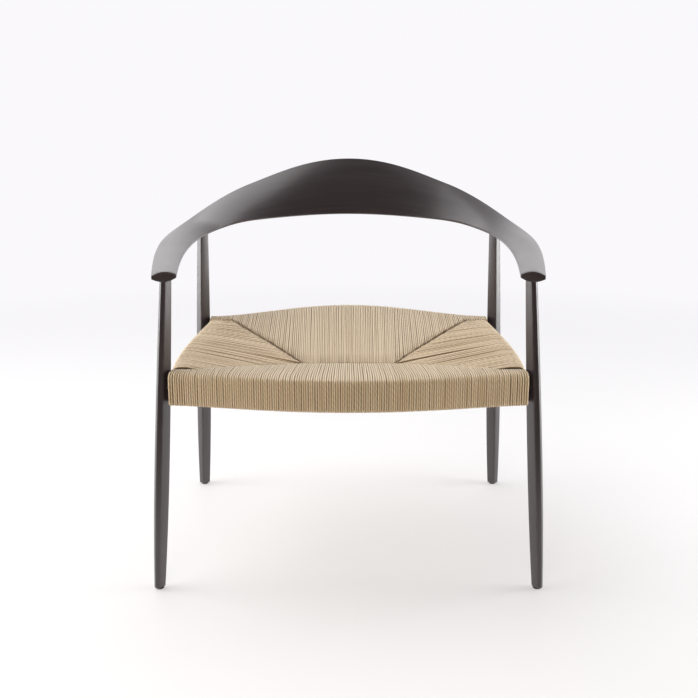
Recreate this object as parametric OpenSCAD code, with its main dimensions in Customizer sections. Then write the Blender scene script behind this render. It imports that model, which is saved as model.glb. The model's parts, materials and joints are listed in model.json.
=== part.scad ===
// Low lounge armchair: four tapered legs carry a horseshoe top rail and a cord-woven seat frame.
// The chair faces -Y, +X is to the right of a person looking at its front, +Z is up, z = 0 is the floor.
// All lengths are in millimetres.

/* [Overall] */
// Height of the cord over the front rail
seat_height = 395; // [329:1:475]
// How far the seat falls from the front rail to the ends of the rear rail
seat_fall = 13; // [0:1:25]
// Distance from the front feet to the rear feet
leg_depth = 493.4; // [411:0.1:600]
// Distance between the tops of the front legs
arm_span = 594; // [495:1:720]
// How much wider the front feet stand than the front leg tops, on each side
front_splay = 33; // [10:1:45]
// How much wider the rear feet stand than the rear leg tops, on each side
rear_splay = 17; // [5:1:30]
// Height of the middle of the arm at its front end
arm_height = 553; // [500:1:664]
// Rise of the middle of the backrest above the arm
back_rise = 94; // [78:1:113]
// How far the middle of the backrest stands behind the rear feet
back_overhang = 106.6; // [80:0.1:130]

/* [Top rail] */
// Width of the arm at its front end
arm_end_w = 40; // [34:1:48]
// Width of the arm halfway to the rear leg
arm_mid_w = 57; // [48:1:68]
// Width of the rail over the rear leg
arm_rear_w = 71; // [60:1:85]
// Height of the board between the rear leg and the middle
back_side_w = 101; // [84:1:121]
// Height of the board in the middle of the back
back_mid_w = 123; // [103:1:148]
// Thickness of the rail along its middle
rail_board_t = 17; // [14:0.1:20.5]
// Thickness left at the blunt edges of the rail
board_edge_t = 5; // [4:0.5:6]
// How far the arms bulge outwards between front leg and back
arm_bulge = 82; // [68:1:98]
// Overhang of the arm end in front of the front foot
arm_overhang = 12; // [10:1:14]
// Lean of the backrest board from upright, in degrees
back_lean = 20; // [14:1:26]
// Diameter of the dowels in the two splices of the top rail
splice_dowel_d = 8; // [6.5:0.5:9.5]
// Length of each splice dowel
splice_dowel_l = 32; // [26:1:38]

/* [Legs] */
// Greatest width of a front leg, just below the seat
front_leg_w = 25.4; // [21:0.1:30.6]
// Greatest width of a rear leg
rear_leg_w = 29.6; // [24.6:0.1:35.6]
// Width of every leg at the foot and under the arm, as a share of its greatest width
leg_taper = 0.74; // [0.65:0.01:0.85]
// Depth of a leg as a share of its width
leg_depth_ratio = 1.1; // [1:0.05:1.3]
// How far the rear leg top stands forward of its foot
rear_rake = 14; // [0:1:24]
// How far inside the middle line of the top rail the rear leg meets it
rear_leg_inset = 10.5; // [8:0.5:12]
// Diameter of the round tenon on top of each leg
leg_tenon_d = 12; // [10:0.5:13]
// Width of the small flat on each arris of a leg
arris = 1.6; // [1:0.2:2]

/* [Seat frame] */
// Height of the wooden rails
rail_h = 49; // [40.8:0.2:58.8]
// Depth of the wooden front and rear rails
rail_t = 28; // [23.3:0.1:33.6]
// Width of the wooden side rails
side_rail_t = 26; // [22:1:31]
// Forward bow of the front rail
front_bow = 41; // [20:1:49]
// Rearward bow of the rear rail
rear_bow = 52; // [30:1:62]
// Upward arch of the rear rail
rear_arch = 14; // [8:1:17]
// Diameter of the round tenons on the rail ends
rail_tenon_d = 10; // [8:0.5:12]
// Length of the tenons that enter the legs
rail_tenon_l = 18; // [15:0.5:19]
// Length of the side rail tenons
side_tenon_l = 14; // [12:0.5:16]
// Radius on the long edges of the rails
rail_edge_r = 5; // [3:0.5:6]

/* [Cord] */
// Thickness of one layer of paper cord
cord_d = 3.6; // [3:0.01:4.4]
// Width of the bare wraps beside each leg, before the diagonal seams start
end_wraps = 48; // [40:1:58]
// Half length of the seam in the middle of the seat
seam_half = 83; // [69:1:99]
// Distance of the middle seam behind the front feet
seam_depth = 185; // [160:1:210]
// How far the middle seam lies below the front edge of the seat
seat_dish = 36; // [30:1:40]
// Thickness of the seat along the middle seam
seam_t = 15; // [12.5:0.5:17]

/* [Fits] */
// Radial clearance of tenons, dowels and nails in their bores
fit = 0.1; // [0.05:0.05:0.2]
// Gap between a leg and the end of the rail beside it
leg_gap = 1; // [0.5:0.1:2]
// Gap between the cord fields along a seam
seam_gap = 0.8; // [0.4:0.1:1.5]
// Gap between a side rail and the turns of cord that it passes through
cord_clear = 0.15; // [0.05:0.05:0.3]

/* [Glides] */
// Thickness of a foot glide
glide_t = 3; // [2.5:0.5:4]
// Diameter of a foot glide
glide_d = 15; // [12:0.5:16]
// Diameter of the nail in a foot glide
nail_d = 2.4; // [2:0.2:3]
// Length of the nail in a foot glide
nail_l = 14; // [11:1:17]

/* [Hidden] */
$fn = 48;

stain = [0.22, 0.2, 0.21];
bare_wood = [0.72, 0.6, 0.45];
cord_colour = [0.82, 0.74, 0.62];
card_colour = [0.66, 0.56, 0.42];
black = [0.15, 0.15, 0.15];

// ---------- curve helpers ----------

// Point at t on the cubic curve with four control points
function bezier(p, t) =
    pow(1 - t, 3) * p[0] + 3 * t * pow(1 - t, 2) * p[1] + 3 * t * t * (1 - t) * p[2] + pow(t, 3) * p[3];

// Direction of that curve
function bezier_slope(p, t) =
    3 * pow(1 - t, 2) * (p[1] - p[0]) + 6 * t * (1 - t) * (p[2] - p[1]) + 3 * t * t * (p[3] - p[2]);

// Smooth value at t through five values spaced evenly from t = 0 to t = 1, level at t = 1
function through_five(v, t) =
    let (k = min(3, floor(t * 4)), f = t * 4 - k,
         a = k == 0 ? 2 * v[0] - v[1] : v[k - 1], b = v[k], c = v[k + 1], d = k == 3 ? v[3] : v[k + 2])
    0.5 * (2 * b + (c - a) * f + (2 * a - 5 * b + 4 * c - d) * f * f + (3 * b - a - 3 * c + d) * f * f * f);

// One closed solid through equal rings of points
module loft(rings) {
    n = len(rings[0]);
    m = len(rings);
    sides = [for (i = [0:m - 2], j = [0:n - 1]) let (a = i * n + j, b = i * n + (j + 1) % n)
        each [[a, b, a + n], [b, b + n, a + n]]];
    first = [for (j = [n - 1:-1:0]) j];
    last = [for (j = [0:n - 1]) (m - 1) * n + j];
    polyhedron([for (ring = rings) each ring], concat(sides, [first, last]));
}

// One closed tube between equal outer and inner rings, open at both ends
module tube_loft(outer, inner) {
    n = len(outer[0]);
    m = len(outer);
    skip = n * m;
    walls = [for (i = [0:m - 2], j = [0:n - 1]) let (a = i * n + j, b = i * n + (j + 1) % n)
        each [[a, b, a + n], [b, b + n, a + n],
              [skip + a, skip + a + n, skip + b], [skip + b, skip + a + n, skip + b + n]]];
    ends = [for (j = [0:n - 1]) let (k = (j + 1) % n, e = (m - 1) * n)
        each [[j, skip + j, k], [k, skip + j, skip + k],
              [e + j, e + k, skip + e + j], [e + k, skip + e + k, skip + e + j]]];
    polyhedron([for (ring = outer) each ring, for (ring = inner) each ring], concat(walls, ends));
}

// A cylinder from one point to another
module rod(from, to, d) {
    v = to - from;
    translate(from) rotate([0, acos(v[2] / norm(v)), atan2(v[1], v[0])]) cylinder(d = d, h = norm(v));
}

// ---------- top rail ----------

arm_x = arm_span / 2;
back_depth = leg_depth + back_overhang;
// Plan of the right half of the middle line: where the arm is widest and where it comes round to the back
widest_share = 0.857;
corner_share = 0.6;
plan = [
    [arm_x, -arm_overhang],
    [arm_x + arm_bulge, back_depth * widest_share],
    [arm_x + arm_bulge * corner_share, back_depth],
    [0, back_depth]
];
// Width, height and turn at five even places from the arm end to the middle of the back
rise_shares = [0, 0.05, 0.22, 0.67, 1];
turn_shares = [-0.04, 0.03, 0.15, 0.61, 1];
board_w = [arm_end_w, arm_mid_w, arm_rear_w, back_side_w, back_mid_w];
board_z = [for (share = rise_shares) arm_height + back_rise * share];
board_turn = [for (share = turn_shares) (90 - back_lean) * share];
half_lens = 8;
splice_at = 0.64;
// Place of the two splice dowels across the board, as shares of its half width
splice_dowel_places = [-0.34, 0.34];

// Middle of the rail at t, from the arm end at t = 0 to the middle of the back at t = 1
function rail_mid(t) = let (p = bezier(plan, t)) [p[0], p[1], through_five(board_z, t)];

// Outward direction in plan at t
function rail_out(t) = let (s = bezier_slope(plan, t)) [s[1], -s[0], 0] / norm(s);

// Direction of travel at t
function rail_along(t) = let (v = rail_mid(t + 0.01) - rail_mid(t - 0.01)) v / norm(v);

// Point of the board at t: across runs from -1 on its inner or lower edge to 1, up is off its middle
function board_point(t, across, up) =
    let (turn = through_five(board_turn, t), out = rail_out(t), half = through_five(board_w, t) / 2)
    rail_mid(t) + across * half * (cos(turn) * out + [0, 0, sin(turn)])
        + up * ([0, 0, cos(turn)] - sin(turn) * out);

// Half thickness of the lens-shaped section
function board_half_t(across) =
    board_edge_t / 2 + (rail_board_t - board_edge_t) / 2 * (1 - across * across);

// Ring of the section at t
function board_ring(t) = [
    for (k = [half_lens:-1:-half_lens]) board_point(t, k / half_lens, board_half_t(k / half_lens)),
    for (k = [-half_lens:half_lens]) board_point(t, k / half_lens, -board_half_t(k / half_lens))
];

function flip_x(p) = [-p[0], p[1], p[2]];

arm_steps = 20;
back_steps = 12;

// Lowest surface of the board under the point (across) at t
function board_under(t, across) = board_point(t, across, -board_half_t(across));

// ---------- legs ----------

// The rear leg meets the rail inside its middle line, at the t that lies y behind the front feet
rear_across = -2 * rear_leg_inset / arm_rear_w;
function rail_t_at(y, low = 0, high = 0.75, steps = 20) =
    let (t = (low + high) / 2, short = board_point(t, rear_across, 0)[1] < y)
    steps == 0 ? t : rail_t_at(y, short ? t : low, short ? high : t, steps - 1);

front_top_t = 0.02;
front_top_y = 4;
front_top = [arm_x, front_top_y, board_under(front_top_t, 0)[2]];
front_foot = [arm_x + front_splay, 0, 0];
rear_seat_on = board_point(rail_t_at(leg_depth - rear_rake), rear_across, 0);
rear_top = [rear_seat_on[0], rear_seat_on[1], rear_seat_on[2] - rail_board_t / 2];
rear_foot = [rear_top[0] + rear_splay, leg_depth, 0];

// Leg sections as shares of the leg's width and depth, outwards and backwards
front_section = [[-0.05, -0.5], [0.32, -0.5], [0.5, -0.2], [0.5, 0.26], [0.12, 0.5], [-0.5, 0.08]];
rear_section = [[0.1, -0.5], [0.5, -0.18], [0.5, 0.22], [0.2, 0.5], [-0.3, 0.5], [-0.5, -0.04]];
widest_at = 0.42;
foot_curve = 2.2;
top_curve = 1.8;
leg_steps = 10;
// How far a leg blank runs up into the arm that it is cut to
leg_past = 6;
leg_tenon_root = 8;
// How far a leg tenon enters the arm, as a share of the arm's thickness
leg_tenon_share = 0.62;

// Share of the greatest width at height share h
function leg_swell(h) = 1 - (1 - leg_taper) * (h < widest_at
    ? pow((widest_at - h) / widest_at, foot_curve)
    : pow((h - widest_at) / (1 - widest_at), top_curve));

// Middle of a leg at height share h
function leg_mid(foot, top, h) = foot + (top - foot) * h;

// Outline of a leg section with a small flat on every arris
function leg_ring(foot, top, width, section, h) =
    let (w = width * leg_swell(h), n = len(section), c = leg_mid(foot, top, h),
         p = [for (s = section) [s[0] * w, s[1] * w * leg_depth_ratio]])
    [for (i = [0:n - 1]) let (q = p[i], before = p[(i + n - 1) % n], after = p[(i + 1) % n])
        each [for (next = [before, after]) let (d = next - q, e = q + d / norm(d) * arris * w / width)
            [c[0] + e[0], c[1] + e[1], c[2]]]];

module leg_blank(foot, top, width, section) {
    first = glide_t / top[2];
    past = 1 + leg_past / top[2];
    loft([for (i = [leg_steps:-1:0]) let (h = first + (past - first) * i / leg_steps)
        leg_ring(foot, top, width, section, h)]);
}

// Round tenon of a leg, from inside the leg into the arm
module leg_tenon(foot, top, d) {
    dir = (top - foot) / norm(top - foot);
    rod(top - dir * leg_tenon_root, top + dir * rail_board_t * leg_tenon_share, d);
}

// Chamfer round the underside of a glide
glide_edge = 1;

module glide_nail(foot, d) {
    rod([foot[0], foot[1], glide_t / 2], [foot[0], foot[1], glide_t + nail_l], d);
}

// ---------- seat frame ----------

wrap_t = rail_t + 2 * cord_d;
side_wrap_t = side_rail_t + 2 * cord_d;
rail_mid_z = seat_height - cord_d - rail_h / 2;
front_leg_at = leg_mid(front_foot, front_top, rail_mid_z / front_top[2]);
rear_leg_at = leg_mid(rear_foot, rear_top, (rail_mid_z - seat_fall) / rear_top[2]);
// The rail ends lie a little forward of the legs' middle lines
front_rail_set = 7;
rear_rail_set = 5;
front_rail_y = -front_rail_set;
rear_rail_y = rear_leg_at[1] - rear_rail_set;
front_rail_x = front_leg_at[0] - front_leg_w / 2 - leg_gap;
rear_rail_x = rear_leg_at[0] - rear_leg_w / 2 - leg_gap;
side_rail_out = 3;
side_front_x = front_rail_x - side_wrap_t / 2 + side_rail_out;
side_rear_x = rear_rail_x - side_wrap_t / 2;
rail_stations = 24;

// Shape of a bowed rail: 1 in the middle, 0 at the ends
function bow(x, half, power) = pow(max(0, 1 - pow(x / half, 2)), power);
function front_line_y(x) = front_rail_y - front_bow * bow(x, front_rail_x, 1.5);
function rear_line_y(x) = rear_rail_y + rear_bow * bow(x, rear_rail_x, 2);
function rear_line_z(x) = rail_mid_z - seat_fall + rear_arch * bow(x, rear_rail_x, 2);
function side_share(y) = (y - front_rail_y) / (rear_rail_y - front_rail_y);
function side_line_x(y) = side_front_x + (side_rear_x - side_front_x) * side_share(y);
function side_line_z(y) = rail_mid_z - seat_fall * side_share(y);

// Rectangle with rounded corners: points [across, up]
function round_box(w, h, r) = [for (c = [[1, 1, 0], [-1, 1, 90], [-1, -1, 180], [1, -1, 270]], k = [0:2])
    [c[0] * (w / 2 - r) + r * cos(c[2] + 45 * k), c[1] * (h / 2 - r) + r * sin(c[2] + 45 * k)]];

tenon_inner = 6;
// The tenons sit nearer to the legs' middle lines than the rails do
front_tenon_back = (rail_t - rail_tenon_d) / 2 - 1;
rear_tenon_back = 3.5;
front_tenon_y = front_rail_y + front_tenon_back;
rear_tenon_y = rear_rail_y + rear_tenon_back;

module rail_end_tenons(x, y, z, d) {
    for (side = [-1, 1])
        rod([side * (x - tenon_inner), y, z], [side * (x + leg_gap + rail_tenon_l), y, z], d);
}

// Tenon of a side rail: end 0 enters the front rail, end 1 the rear rail
side_dir = [side_rear_x - side_front_x, rear_rail_y - front_rail_y, -seat_fall];
side_unit = side_dir / norm(side_dir);
side_front_y = front_rail_y + rail_t / 2 + leg_gap;
side_rear_y = rear_rail_y - rail_t / 2 - leg_gap;

module side_tenon(end, d) {
    y = end == 0 ? side_front_y : side_rear_y;
    p = [side_line_x(y), y, side_line_z(y)];
    reach = end == 0 ? -side_tenon_l : side_tenon_l;
    rod(p - side_unit * sign(reach) * tenon_inner, p + side_unit * reach, d);
}

// ---------- cord tacks ----------

tack_head_d = 5;
tack_head_t = 0.8;
tack_l = 10;
tack_clear = 0.05;
tack_d = 1.2;
tack_spacing = 0.36;
tack_xs = [for (k = [-2:2]) k * front_rail_x * tack_spacing];

// A tack driven into an inner rail face; inwards is 1 for the front rail and -1 for the rear rail
module tack(x, y, z, inwards, d, head_d) {
    rod([x, y + inwards * tack_head_t, z], [x, y - inwards * tack_l, z], d);
    rod([x, y, z], [x, y + inwards * tack_head_t, z], head_d);
}

module front_tack(x, d, head_d) {
    tack(x, front_line_y(x) + rail_t / 2 + tack_clear, rail_mid_z, 1, d, head_d);
}

module rear_tack(x, d, head_d) {
    tack(x, rear_line_y(x) - rail_t / 2 - tack_clear, rear_line_z(x), -1, d, head_d);
}

// ---------- cord fields ----------

corner_r = 7;
seam_front_x = front_rail_x - end_wraps;
seam_rear_x = rear_rail_x - end_wraps;
min_seam_reach = cord_d + 2.4;
front_seam_y = front_rail_y + wrap_t / 2 + min_seam_reach;
rear_seam_y = rear_rail_y - wrap_t / 2 - min_seam_reach;
seam_top_z = seat_height - seat_dish;

// Share of the way from a corner (0) to the end of the middle seam (1) at x
function seam_share(x, corner_x) = max(0, min(1, (corner_x - abs(x)) / (corner_x - seam_half)));

// Section of a field as points [distance inwards from its outer face, height]: round the rail, then straight
// to the seam; inset gives the same section that far inside, for the hollow and the packing
function field_section(z_mid, depth, reach, top, bottom, inset) =
    let (half = rail_h / 2 + cord_d - inset, r = corner_r - inset, a = inset, e = reach - 1.5 * inset,
         near = depth - inset * 0.5, middle = (near + e) / 2 + min(inset, e - near) / 5,
         zt = z_mid + half, zb = z_mid - half, st = top - inset, sb = bottom + inset,
         k = r * (1 - cos(45)))
    [[a, zt - r], [a + k, zt - k], [a + r, zt], [near, zt], [middle, (zt + st) / 2], [e, st],
     [e, sb], [middle, (zb + sb) / 2], [near, zb], [a + r, zb], [a + k, zb + k], [a, zb + r]];

// Front and rear fields: sections stand across x
function front_ring(x, inset) =
    let (share = seam_share(x, seam_front_x), face = front_line_y(x) - wrap_t / 2,
         seam = front_seam_y + (seam_depth - front_seam_y) * share - seam_gap / 2,
         top = seat_height - seat_dish * share, low = seat_height - rail_h - 2 * cord_d,
         bottom = low + (seam_top_z - seam_t - low) * share)
    [for (p = field_section(rail_mid_z, wrap_t, seam - face, top, bottom, inset)) [x, face + p[0], p[1]]];

function rear_ring(x, inset) =
    let (share = seam_share(x, seam_rear_x), z = rear_line_z(x), face = rear_line_y(x) + wrap_t / 2,
         seam = rear_seam_y - (rear_seam_y - seam_depth) * share + seam_gap / 2,
         high = z + rail_h / 2 + cord_d, low = z - rail_h / 2 - cord_d,
         top = high + (seam_top_z - high) * share, bottom = low + (seam_top_z - seam_t - low) * share)
    [for (p = field_section(z, wrap_t, face - seam, top, bottom, inset)) [x, face - p[0], p[1]]];

// Side field on the right: sections stand across y
function side_ring(y, inset) =
    let (ahead = y < seam_depth,
         share = ahead ? (y - front_seam_y) / (seam_depth - front_seam_y)
                       : (rear_seam_y - y) / (rear_seam_y - seam_depth),
         corner = ahead ? seam_front_x : seam_rear_x, z = side_line_z(y),
         face = side_line_x(y) + side_wrap_t / 2,
         seam = corner + (seam_half - corner) * share + seam_gap / 2,
         high = z + rail_h / 2 + cord_d, low = z - rail_h / 2 - cord_d,
         top = high + (seam_top_z - high) * share, bottom = low + (seam_top_z - seam_t - low) * share)
    [for (p = field_section(z, side_wrap_t, face - seam, top, bottom, inset)) [face - p[0], y, p[1]]];

// Stations across a bowed field, with one on each end of the diagonal seams
function field_stations(end_x, corner_x) =
    let (half = [for (k = [0:4]) k * seam_half / 4,
                 for (k = [1:8]) seam_half + k * (corner_x - seam_half) / 8,
                 for (k = [1:2]) corner_x + k * (end_x - corner_x) / 2])
    [for (k = [len(half) - 1:-1:1]) -half[k], for (v = half) v];

side_end_gap = 2;
side_start_y = front_seam_y + side_end_gap;
side_end_y = rear_seam_y - side_end_gap;
side_stations = [
    for (k = [0:7]) side_start_y + k * (seam_depth - side_start_y) / 8,
    for (k = [0:10]) seam_depth + k * (side_end_y - seam_depth) / 10
];

// The packing fills the pocket of a field between the rail and the seam
pack_gap = 1.2;
pack_inset = cord_d + pack_gap;
pack_end = 28;
function packing_part(ring) = [for (k = [3:8]) ring[k]];
function packing_stations(corner_x) =
    let (half = [for (k = [0:2]) k * seam_half / 2,
                 for (k = [1:4]) seam_half + k * (corner_x - pack_end - seam_half) / 4])
    [for (k = [len(half) - 1:-1:1]) -half[k], for (v = half) v];

// ---------- pieces ----------

// Plan box of the chair, for an origin under its middle
front_face_y = front_rail_y - front_bow - wrap_t / 2;
back_ys = [for (i = [0:back_steps], p = board_ring(splice_at + (1 - splice_at) * i / back_steps)) p[1]];
mid_y = (front_face_y + max(back_ys)) / 2;

module placed() { translate([0, -mid_y, 0]) children(); }

module arm_blank() {
    loft([for (i = [0:arm_steps]) board_ring(splice_at * i / arm_steps)]);
}

module back_blank() {
    turns = [for (i = [0:back_steps]) splice_at + (1 - splice_at) * i / back_steps];
    loft([for (t = turns) board_ring(t),
          for (i = [back_steps - 1:-1:0]) [for (p = board_ring(turns[i])) flip_x(p)]]);
}

module splice_rods(d) {
    reach = rail_along(splice_at) * splice_dowel_l / 2;
    for (across = splice_dowel_places) {
        c = board_point(splice_at, across, 0);
        rod(c - reach, c + reach, d);
    }
}

module arm() color(stain) difference() {
    arm_blank();
    splice_rods(splice_dowel_d + 2 * fit);
    leg_tenon(front_foot, front_top, leg_tenon_d + 2 * fit);
    leg_tenon(rear_foot, rear_top, leg_tenon_d + 2 * fit);
}

module backrest() color(stain) difference() {
    back_blank();
    splice_rods(splice_dowel_d + 2 * fit);
    mirror([1, 0, 0]) splice_rods(splice_dowel_d + 2 * fit);
}

module splice_dowels() color(bare_wood) splice_rods(splice_dowel_d);

module front_leg() color(stain) difference() {
    union() {
        difference() {
            leg_blank(front_foot, front_top, front_leg_w, front_section);
            arm_blank();
        }
        leg_tenon(front_foot, front_top, leg_tenon_d);
    }
    rail_end_tenons(front_rail_x, front_tenon_y, rail_mid_z, rail_tenon_d + 2 * fit);
    glide_nail(front_foot, nail_d + 2 * fit);
}

module rear_leg() color(stain) difference() {
    union() {
        difference() {
            leg_blank(rear_foot, rear_top, rear_leg_w, rear_section);
            arm_blank();
        }
        leg_tenon(rear_foot, rear_top, leg_tenon_d);
    }
    rail_end_tenons(rear_rail_x, rear_tenon_y, rear_line_z(rear_rail_x), rail_tenon_d + 2 * fit);
    glide_nail(rear_foot, nail_d + 2 * fit);
}

// Places along a rail from one end to the other
function rail_xs(end_x) = [for (i = [rail_stations:-1:0]) end_x * (2 * i / rail_stations - 1)];

// A bowed rail through lines, its middle [y, z] at each place
module rail_blank(xs, lines) {
    box = round_box(rail_t, rail_h, rail_edge_r);
    loft([for (i = [0:rail_stations]) [for (p = box) [xs[i], lines[i][0] + p[0], lines[i][1] + p[1]]]]);
}

// Bores for the two side rails: end 0 is in the front rail, end 1 in the rear rail
module side_rail_bores(end) {
    side_tenon(end, rail_tenon_d + 2 * fit);
    mirror([1, 0, 0]) side_tenon(end, rail_tenon_d + 2 * fit);
}

module front_rail() color(bare_wood) difference() {
    union() {
        rail_blank(rail_xs(front_rail_x), [for (x = rail_xs(front_rail_x)) [front_line_y(x), rail_mid_z]]);
        rail_end_tenons(front_rail_x, front_tenon_y, rail_mid_z, rail_tenon_d);
    }
    side_rail_bores(0);
    for (x = tack_xs) front_tack(x, tack_d + 2 * fit, tack_d + 2 * fit);
}

module rear_rail() color(bare_wood) difference() {
    union() {
        rail_blank(rail_xs(rear_rail_x), [for (x = rail_xs(rear_rail_x)) [rear_line_y(x), rear_line_z(x)]]);
        rail_end_tenons(rear_rail_x, rear_tenon_y, rear_line_z(rear_rail_x), rail_tenon_d);
    }
    side_rail_bores(1);
    for (x = tack_xs) rear_tack(x, tack_d + 2 * fit, tack_d + 2 * fit);
}

module side_rail() color(bare_wood) union() {
    box = round_box(side_rail_t, rail_h, rail_edge_r);
    loft([for (y = [side_front_y, side_rear_y])
        [for (p = box) [side_line_x(y) + p[0], y, side_line_z(y) + p[1]]]]);
    side_tenon(0, rail_tenon_d);
    side_tenon(1, rail_tenon_d);
}

module glide(foot) color(black) translate([foot[0], foot[1], 0]) union() {
    r = glide_d / 2;
    rotate_extrude() polygon([[0, 0], [r - glide_edge, 0], [r, glide_edge], [r, glide_t], [0, glide_t]]);
    cylinder(d = nail_d, h = glide_t + nail_l);
}

module cord_tacks() color("silver") for (x = tack_xs) {
    front_tack(x, tack_d, tack_head_d);
    rear_tack(x, tack_d, tack_head_d);
}

// Room for the two side rails where they pass through the turns beside the legs
module side_rail_room(from, to) {
    box = round_box(side_rail_t + 2 * cord_clear, rail_h + 2 * cord_clear, rail_edge_r);
    for (side = [0, 1]) mirror([side, 0, 0])
        loft([for (y = [from, to]) [for (p = box) [side_line_x(y) + p[0], y, side_line_z(y) + p[1]]]]);
}

module front_cord_field() color(cord_colour) difference() {
    xs = field_stations(front_rail_x, seam_front_x);
    tube_loft([for (x = xs) front_ring(x, 0)], [for (x = xs) front_ring(x, cord_d)]);
    side_rail_room(side_front_y, side_start_y);
}

module rear_cord_field() color(cord_colour) difference() {
    xs = -field_stations(rear_rail_x, seam_rear_x);
    tube_loft([for (x = xs) rear_ring(x, 0)], [for (x = xs) rear_ring(x, cord_d)]);
    side_rail_room(side_end_y, side_rear_y);
}

module front_packing() color(card_colour)
    loft([for (x = packing_stations(seam_front_x)) packing_part(front_ring(x, pack_inset))]);

module rear_packing() color(card_colour)
    loft([for (x = -packing_stations(seam_rear_x)) packing_part(rear_ring(x, pack_inset))]);

module side_packing() color(card_colour)
    loft([for (k = [1:len(side_stations) - 2]) packing_part(side_ring(side_stations[k], pack_inset))]);

module side_cord_field() color(cord_colour)
    tube_loft([for (y = side_stations) side_ring(y, 0)], [for (y = side_stations) side_ring(y, cord_d)]);

placed() mirror([1, 0, 0]) arm();  // left_arm
placed() arm();  // right_arm
placed() backrest();
placed() mirror([1, 0, 0]) splice_dowels();  // left_splice_dowels
placed() splice_dowels();  // right_splice_dowels
placed() mirror([1, 0, 0]) front_leg();  // front_left_leg
placed() front_leg();  // front_right_leg
placed() mirror([1, 0, 0]) rear_leg();  // rear_left_leg
placed() rear_leg();  // rear_right_leg
placed() front_rail();
placed() rear_rail();
placed() mirror([1, 0, 0]) side_rail();  // left_side_rail
placed() side_rail();  // right_side_rail
placed() mirror([1, 0, 0]) glide(front_foot);  // front_left_glide
placed() glide(front_foot);  // front_right_glide
placed() mirror([1, 0, 0]) glide(rear_foot);  // rear_left_glide
placed() glide(rear_foot);  // rear_right_glide
placed() front_cord_field();
placed() rear_cord_field();
placed() mirror([1, 0, 0]) side_cord_field();  // left_cord_field
placed() side_cord_field();  // right_cord_field
placed() front_packing();
placed() rear_packing();
placed() mirror([1, 0, 0]) side_packing();  // left_packing
placed() side_packing();  // right_packing
placed() cord_tacks();
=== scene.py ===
"""Looks of a low lounge armchair: dark-stained wood frame with an envelope-woven paper cord seat.

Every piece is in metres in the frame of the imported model: the chair faces -Y, +X is to the right of a
person looking at its front, and z = 0 is the floor. Lengths called local y are measured backwards from
the line between the front feet.
"""
import json
import logging
import math
import random
from dataclasses import dataclass
from enum import Enum
from typing import Callable, Sequence

import bpy
import numpy as np
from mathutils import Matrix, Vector


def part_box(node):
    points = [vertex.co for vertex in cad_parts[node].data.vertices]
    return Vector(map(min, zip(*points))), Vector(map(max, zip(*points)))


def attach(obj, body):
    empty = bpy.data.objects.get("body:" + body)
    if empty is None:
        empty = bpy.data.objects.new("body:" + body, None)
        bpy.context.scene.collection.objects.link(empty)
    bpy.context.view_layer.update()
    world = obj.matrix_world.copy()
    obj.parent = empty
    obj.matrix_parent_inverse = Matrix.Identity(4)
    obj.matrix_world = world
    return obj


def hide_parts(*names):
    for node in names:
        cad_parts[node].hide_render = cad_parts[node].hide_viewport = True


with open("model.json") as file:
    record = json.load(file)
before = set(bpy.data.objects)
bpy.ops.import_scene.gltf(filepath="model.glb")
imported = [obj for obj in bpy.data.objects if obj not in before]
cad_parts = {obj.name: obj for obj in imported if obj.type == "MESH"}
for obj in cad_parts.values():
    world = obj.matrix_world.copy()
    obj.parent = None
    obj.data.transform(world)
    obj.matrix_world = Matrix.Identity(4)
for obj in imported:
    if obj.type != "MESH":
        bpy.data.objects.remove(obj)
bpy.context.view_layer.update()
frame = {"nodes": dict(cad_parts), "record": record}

log = logging.getLogger("armchair")
BODY = "root"

Piece = bpy.types.Object
Material = bpy.types.Material
Tree = bpy.types.NodeTree
Node = bpy.types.Node
Socket = bpy.types.NodeSocket
Triple = tuple[float, float, float]
Section = tuple[np.ndarray, np.ndarray, np.ndarray]


class Side(Enum):
    """Half of the chair that a piece belongs to, with the sign of its x."""

    LEFT = -1
    RIGHT = 1


class GrainSource(Enum):
    """Where a wood finish reads its grain coordinates."""

    ALONG_PIECE = "grain"
    OBJECT = "object"


# ---------------------------------------------------------------- mesh helpers


def box_of(node: str) -> tuple[np.ndarray, np.ndarray]:
    """Lowest and highest corners of a node as arrays.

    Args:
        node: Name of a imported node.
    Returns:
        The two corners, in metres.
    """
    low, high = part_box(node)
    return np.array(low), np.array(high)


def new_mesh_object(
    name: str, points: np.ndarray, faces: Sequence[Sequence[int]], smooth: bool = True
) -> Piece:
    """Makes a mesh object at the origin.

    Args:
        name: Name of the object.
        points: Vertex places, one row each.
        faces: Vertex numbers of each face, anticlockwise from outside.
        smooth: Shade the faces smooth.
    Returns:
        The new object, linked to the scene.
    """
    mesh = bpy.data.meshes.new(name)
    mesh.from_pydata([tuple(p) for p in points], [], [tuple(f) for f in faces])
    mesh.polygons.foreach_set("use_smooth", [smooth] * len(mesh.polygons))
    mesh.update()
    piece = bpy.data.objects.new(name, mesh)
    bpy.context.scene.collection.objects.link(piece)
    return piece


def add_point_vectors(piece: Piece, name: str, values: np.ndarray) -> None:
    """Stores one vector for each vertex.

    Args:
        piece: Mesh object to store it on.
        name: Name of the attribute.
        values: One row of three numbers for each vertex.
    """
    layer = piece.data.attributes.new(name, "FLOAT_VECTOR", "POINT")
    layer.data.foreach_set("vector", np.asarray(values, np.float32).ravel())


def add_point_values(piece: Piece, name: str, values: np.ndarray) -> None:
    """Stores one number for each vertex.

    Args:
        piece: Mesh object to store it on.
        name: Name of the attribute.
        values: One number for each vertex.
    """
    layer = piece.data.attributes.new(name, "FLOAT", "POINT")
    layer.data.foreach_set("value", np.asarray(values, np.float32).ravel())


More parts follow.
